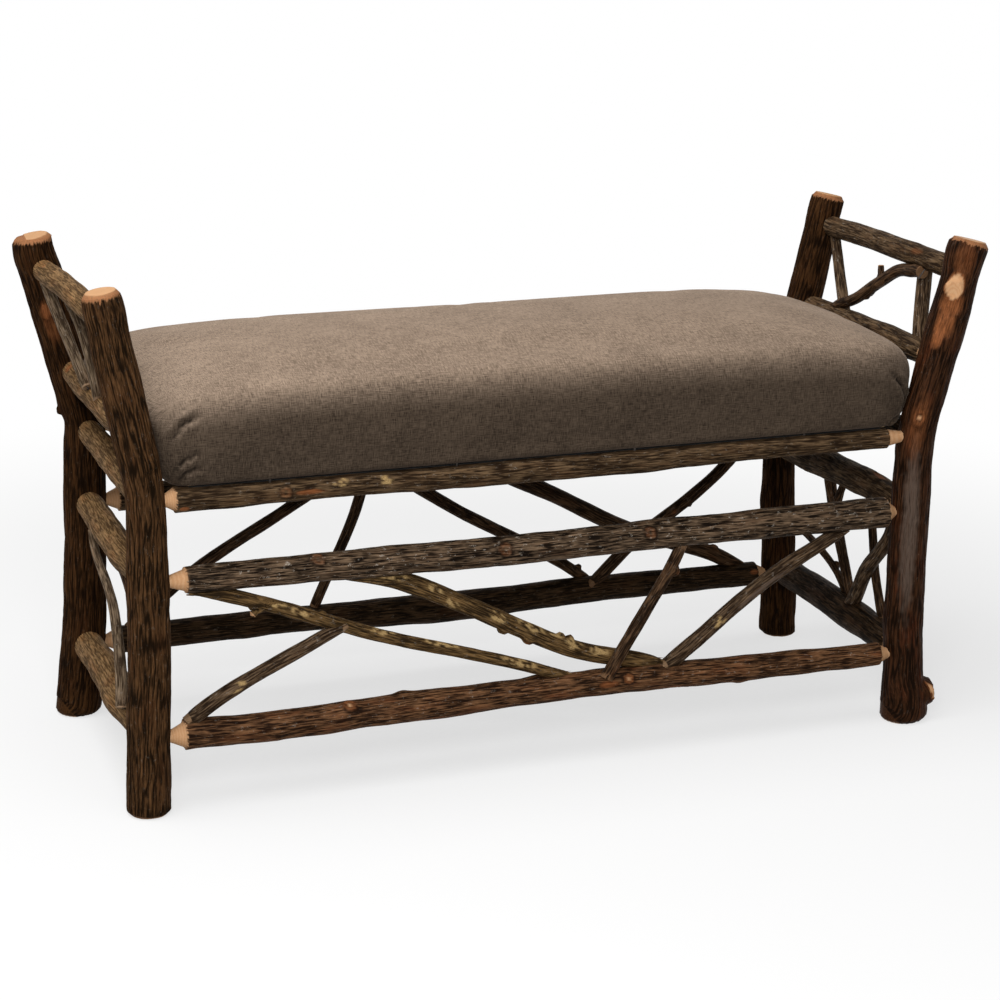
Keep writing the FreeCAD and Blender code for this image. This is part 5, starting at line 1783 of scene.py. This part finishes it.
def dress_staples(name, parts, finish):
    """Makes the staples again, each with its crown under the folded cloth and its legs in the board."""
    places = []
    ways = []
    spans = []
    for points in loose_solids(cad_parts[name].data):
        low = points.min(0)
        high = points.max(0)
        across = high - low
        places.append([(low[0] + high[0]) / 2.0, (low[1] + high[1]) / 2.0, low[2]])
        ways.append((1.0, 0.0, 0.0) if across[0] > across[1] else (0.0, 1.0, 0.0))
        spans.append((across[:2].max(), across[2], across[:2].min()))
    crown, leg, wire = np.median(spans, axis=0)
    sizes = {"Crown": float(crown), "Leg": float(leg), "Wire": float(wire)}
    lengths = [span[0] for span in spans]
    mesh = grown_fasteners(name + "_grown", parts, places, ways, lengths, sizes, finish)
    finish_piece(linked(name + "_steel", mesh), finish, name)


class BENCH_OT_fasteners(Operator):
    """Make the screws, staples and nails"""

    bl_idname = "bench.fasteners"
    bl_label = "Fasteners"

    def execute(self, context):
        steel = plain_finish("plain_steel", (0.30, 0.29, 0.27), (0.55, 0.54, 0.52), 0.42, 400.0, 1.0)
        blued = plain_finish(
            "blued_steel", (0.035, 0.028, 0.024), (0.080, 0.065, 0.055), 0.45, 400.0, 0.6
        )
        pins = pin_tree()
        for name in list(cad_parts):
            if name.endswith("nails"):
                dress_pins(name, pins, blued)
        dress_pins("seat_screws", pins, blued)
        dress_staples("cover_staples", staple_tree(), steel)
        return {"FINISHED"}


def area_lamp(name, place, target, width, power):
    """A soft square lamp that faces a target."""
    light = bpy.data.lights.new(name, "AREA")
    light.shape = "SQUARE"
    light.size = width
    light.energy = power
    lamp = linked(name, light)
    lamp.location = place
    lamp.rotation_euler = (Vector(target) - Vector(place)).to_track_quat("-Z", "Y").to_euler()


def sight_ray(tree):
    """1 for rays that show a thing to the camera, straight, mirrored or through glass."""
    path = tree.nodes.new("ShaderNodeLightPath")
    seen = path.outputs["Is Camera Ray"]
    for kind in ("Is Glossy Ray", "Is Transmission Ray"):
        either = tree.nodes.new("ShaderNodeMath")
        either.operation = "MAXIMUM"
        tree.links.new(seen, either.inputs[0])
        tree.links.new(path.outputs[kind], either.inputs[1])
        seen = either.outputs[0]
    return seen


def stage_finish(looks):
    """The pale floor: lit and shadowed near the bench, and plain white to the camera further out."""
    shades = Shades("pale_floor")
    pale = tuple(looks.floor_colour)
    speckle = shades.noise(shades.place(), 60.0, 2.0)
    speckled = shades.mix(
        shades.band(speckle, 0.3, 0.7, 0.0, 0.3), pale, tuple(0.99 * part for part in pale)
    )
    shades.finish("Base Color", speckled)
    shades.finish("Roughness", 1.0)
    shades.finish("Specular IOR Level", 0.0)
    bounce = shades.nodes.new("ShaderNodeBsdfDiffuse")
    bounce.inputs["Color"].default_value = (*(looks.floor_bounce * part for part in pale), 1.0)
    white = shades.nodes.new("ShaderNodeEmission")
    apart = shades.nodes.new("ShaderNodeVectorMath")
    apart.operation = "LENGTH"
    shades.links.new(shades.place(), apart.inputs[0])
    outer = shades.band(
        apart.outputs["Value"], looks.white_start, looks.white_full, 1.0 - looks.shadow_share, 1.0
    )
    shown = shades.nodes.new("ShaderNodeMixShader")
    shades.links.new(outer, shown.inputs[0])
    shades.links.new(shades.surface.outputs[0], shown.inputs[1])
    shades.links.new(white.outputs[0], shown.inputs[2])
    whole = shades.nodes.new("ShaderNodeMixShader")
    shades.links.new(sight_ray(shades.material.node_tree), whole.inputs[0])
    shades.links.new(bounce.outputs[0], whole.inputs[1])
    shades.links.new(shown.outputs[0], whole.inputs[2])
    output = [node for node in shades.nodes if node.bl_idname == "ShaderNodeOutputMaterial"][0]
    shades.links.new(whole.outputs[0], output.inputs["Surface"])
    return shades.material


class BENCH_OT_stage(Operator):
    """Set the floor, room light, lamps and camera"""

    bl_idname = "bench.stage"
    bl_label = "Stage"

    def execute(self, context):
        looks = context.scene.bench_stage
        half = looks.floor_size / 2.0
        mesh = bpy.data.meshes.new("floor")
        corners = [(-half, -half, 0.0), (half, -half, 0.0), (half, half, 0.0), (-half, half, 0.0)]
        mesh.from_pydata(corners, [], [(0, 1, 2, 3)])
        mesh.materials.append(stage_finish(looks))
        linked("floor", mesh)
        set_room(looks)
        area_lamp("key_lamp", (-1.4, -0.5, 3.4), (0.0, 0.0, 0.3), 3.2, looks.key_power)
        area_lamp("fill_lamp", (-1.3, -3.2, 2.0), (0.0, 0.0, 0.35), 1.2, looks.fill_power)
        set_camera()
        context.scene.view_settings.view_transform = "Standard"
        return {"FINISHED"}


def set_room(looks):
    """Even light from all round, and a white backdrop to the camera."""
    world = bpy.data.worlds.new("room")
    bpy.context.scene.world = world
    world.use_nodes = True
    tree = world.node_tree
    tree.nodes.clear()
    output = tree.nodes.new("ShaderNodeOutputWorld")
    room = tree.nodes.new("ShaderNodeBackground")
    room.inputs["Color"].default_value = (1.0, 1.0, 1.0, 1.0)
    room.inputs["Strength"].default_value = looks.room_light
    backdrop = tree.nodes.new("ShaderNodeBackground")
    backdrop.inputs["Color"].default_value = (1.0, 1.0, 1.0, 1.0)
    mixer = tree.nodes.new("ShaderNodeMixShader")
    tree.links.new(sight_ray(tree), mixer.inputs[0])
    tree.links.new(room.outputs[0], mixer.inputs[1])
    tree.links.new(backdrop.outputs[0], mixer.inputs[2])
    tree.links.new(mixer.outputs[0], output.inputs["Surface"])


def set_camera():
    """The camera at the photograph's place, turn and lens."""
    right, up, forward = camera_turn()
    data = bpy.data.cameras.new("photo_camera")
    data.sensor_fit = "HORIZONTAL"
    data.sensor_width = sensor_width_mm
    data.lens = picture_focal_length / picture_size * sensor_width_mm
    data.clip_end = 100.0
    camera = linked("photo_camera", data)
    turn = Matrix((right, up, -forward)).transposed().to_4x4()
    camera.matrix_world = Matrix.Translation(camera_place) @ turn
    bpy.context.scene.camera = camera


STEPS = [
    BENCH_OT_posts,
    BENCH_OT_long_rails,
    BENCH_OT_side_rails,
    BENCH_OT_front_twigs,
    BENCH_OT_back_twigs,
    BENCH_OT_end_twigs,
    BENCH_OT_cushion,
    BENCH_OT_seat_base,
    BENCH_OT_fasteners,
    BENCH_OT_stage,
]


class BENCH_PT_panel(Panel):
    """The bench's sizes, colours and steps"""

    bl_idname = "BENCH_PT_panel"
    bl_label = "Log bench"
    bl_space_type = "VIEW_3D"
    bl_region_type = "UI"
    bl_category = "Log bench"

    def draw(self, context):
        for scene_name, group in GROUPS.items():
            box = self.layout.box()
            for name in group.__annotations__:
                box.prop(getattr(context.scene, scene_name), name)
        for step in STEPS:
            self.layout.operator(step.bl_idname)


GROUPS = {
    "bench_bark": BarkSizes,
    "bench_wood": WoodColours,
    "bench_seat": SeatLooks,
    "bench_stage": StageLooks,
}


def register():
    """Registers the groups, the steps and the panel."""
    for name, group in GROUPS.items():
        bpy.utils.register_class(group)
        setattr(bpy.types.Scene, name, PointerProperty(type=group))
    for step in STEPS:
        bpy.utils.register_class(step)
    bpy.utils.register_class(BENCH_PT_panel)


def unregister():
    """Takes back what register added."""
    bpy.utils.unregister_class(BENCH_PT_panel)
    for step in reversed(STEPS):
        bpy.utils.unregister_class(step)
    for name, group in GROUPS.items():
        delattr(bpy.types.Scene, name)
        bpy.utils.unregister_class(group)


def main():
    """Makes the bench's looks step by step."""
    register()
    for step in STEPS:
        area, action = step.bl_idname.split(".")
        getattr(getattr(bpy.ops, area), action)()
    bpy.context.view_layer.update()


if __name__ == "__main__":
    main()
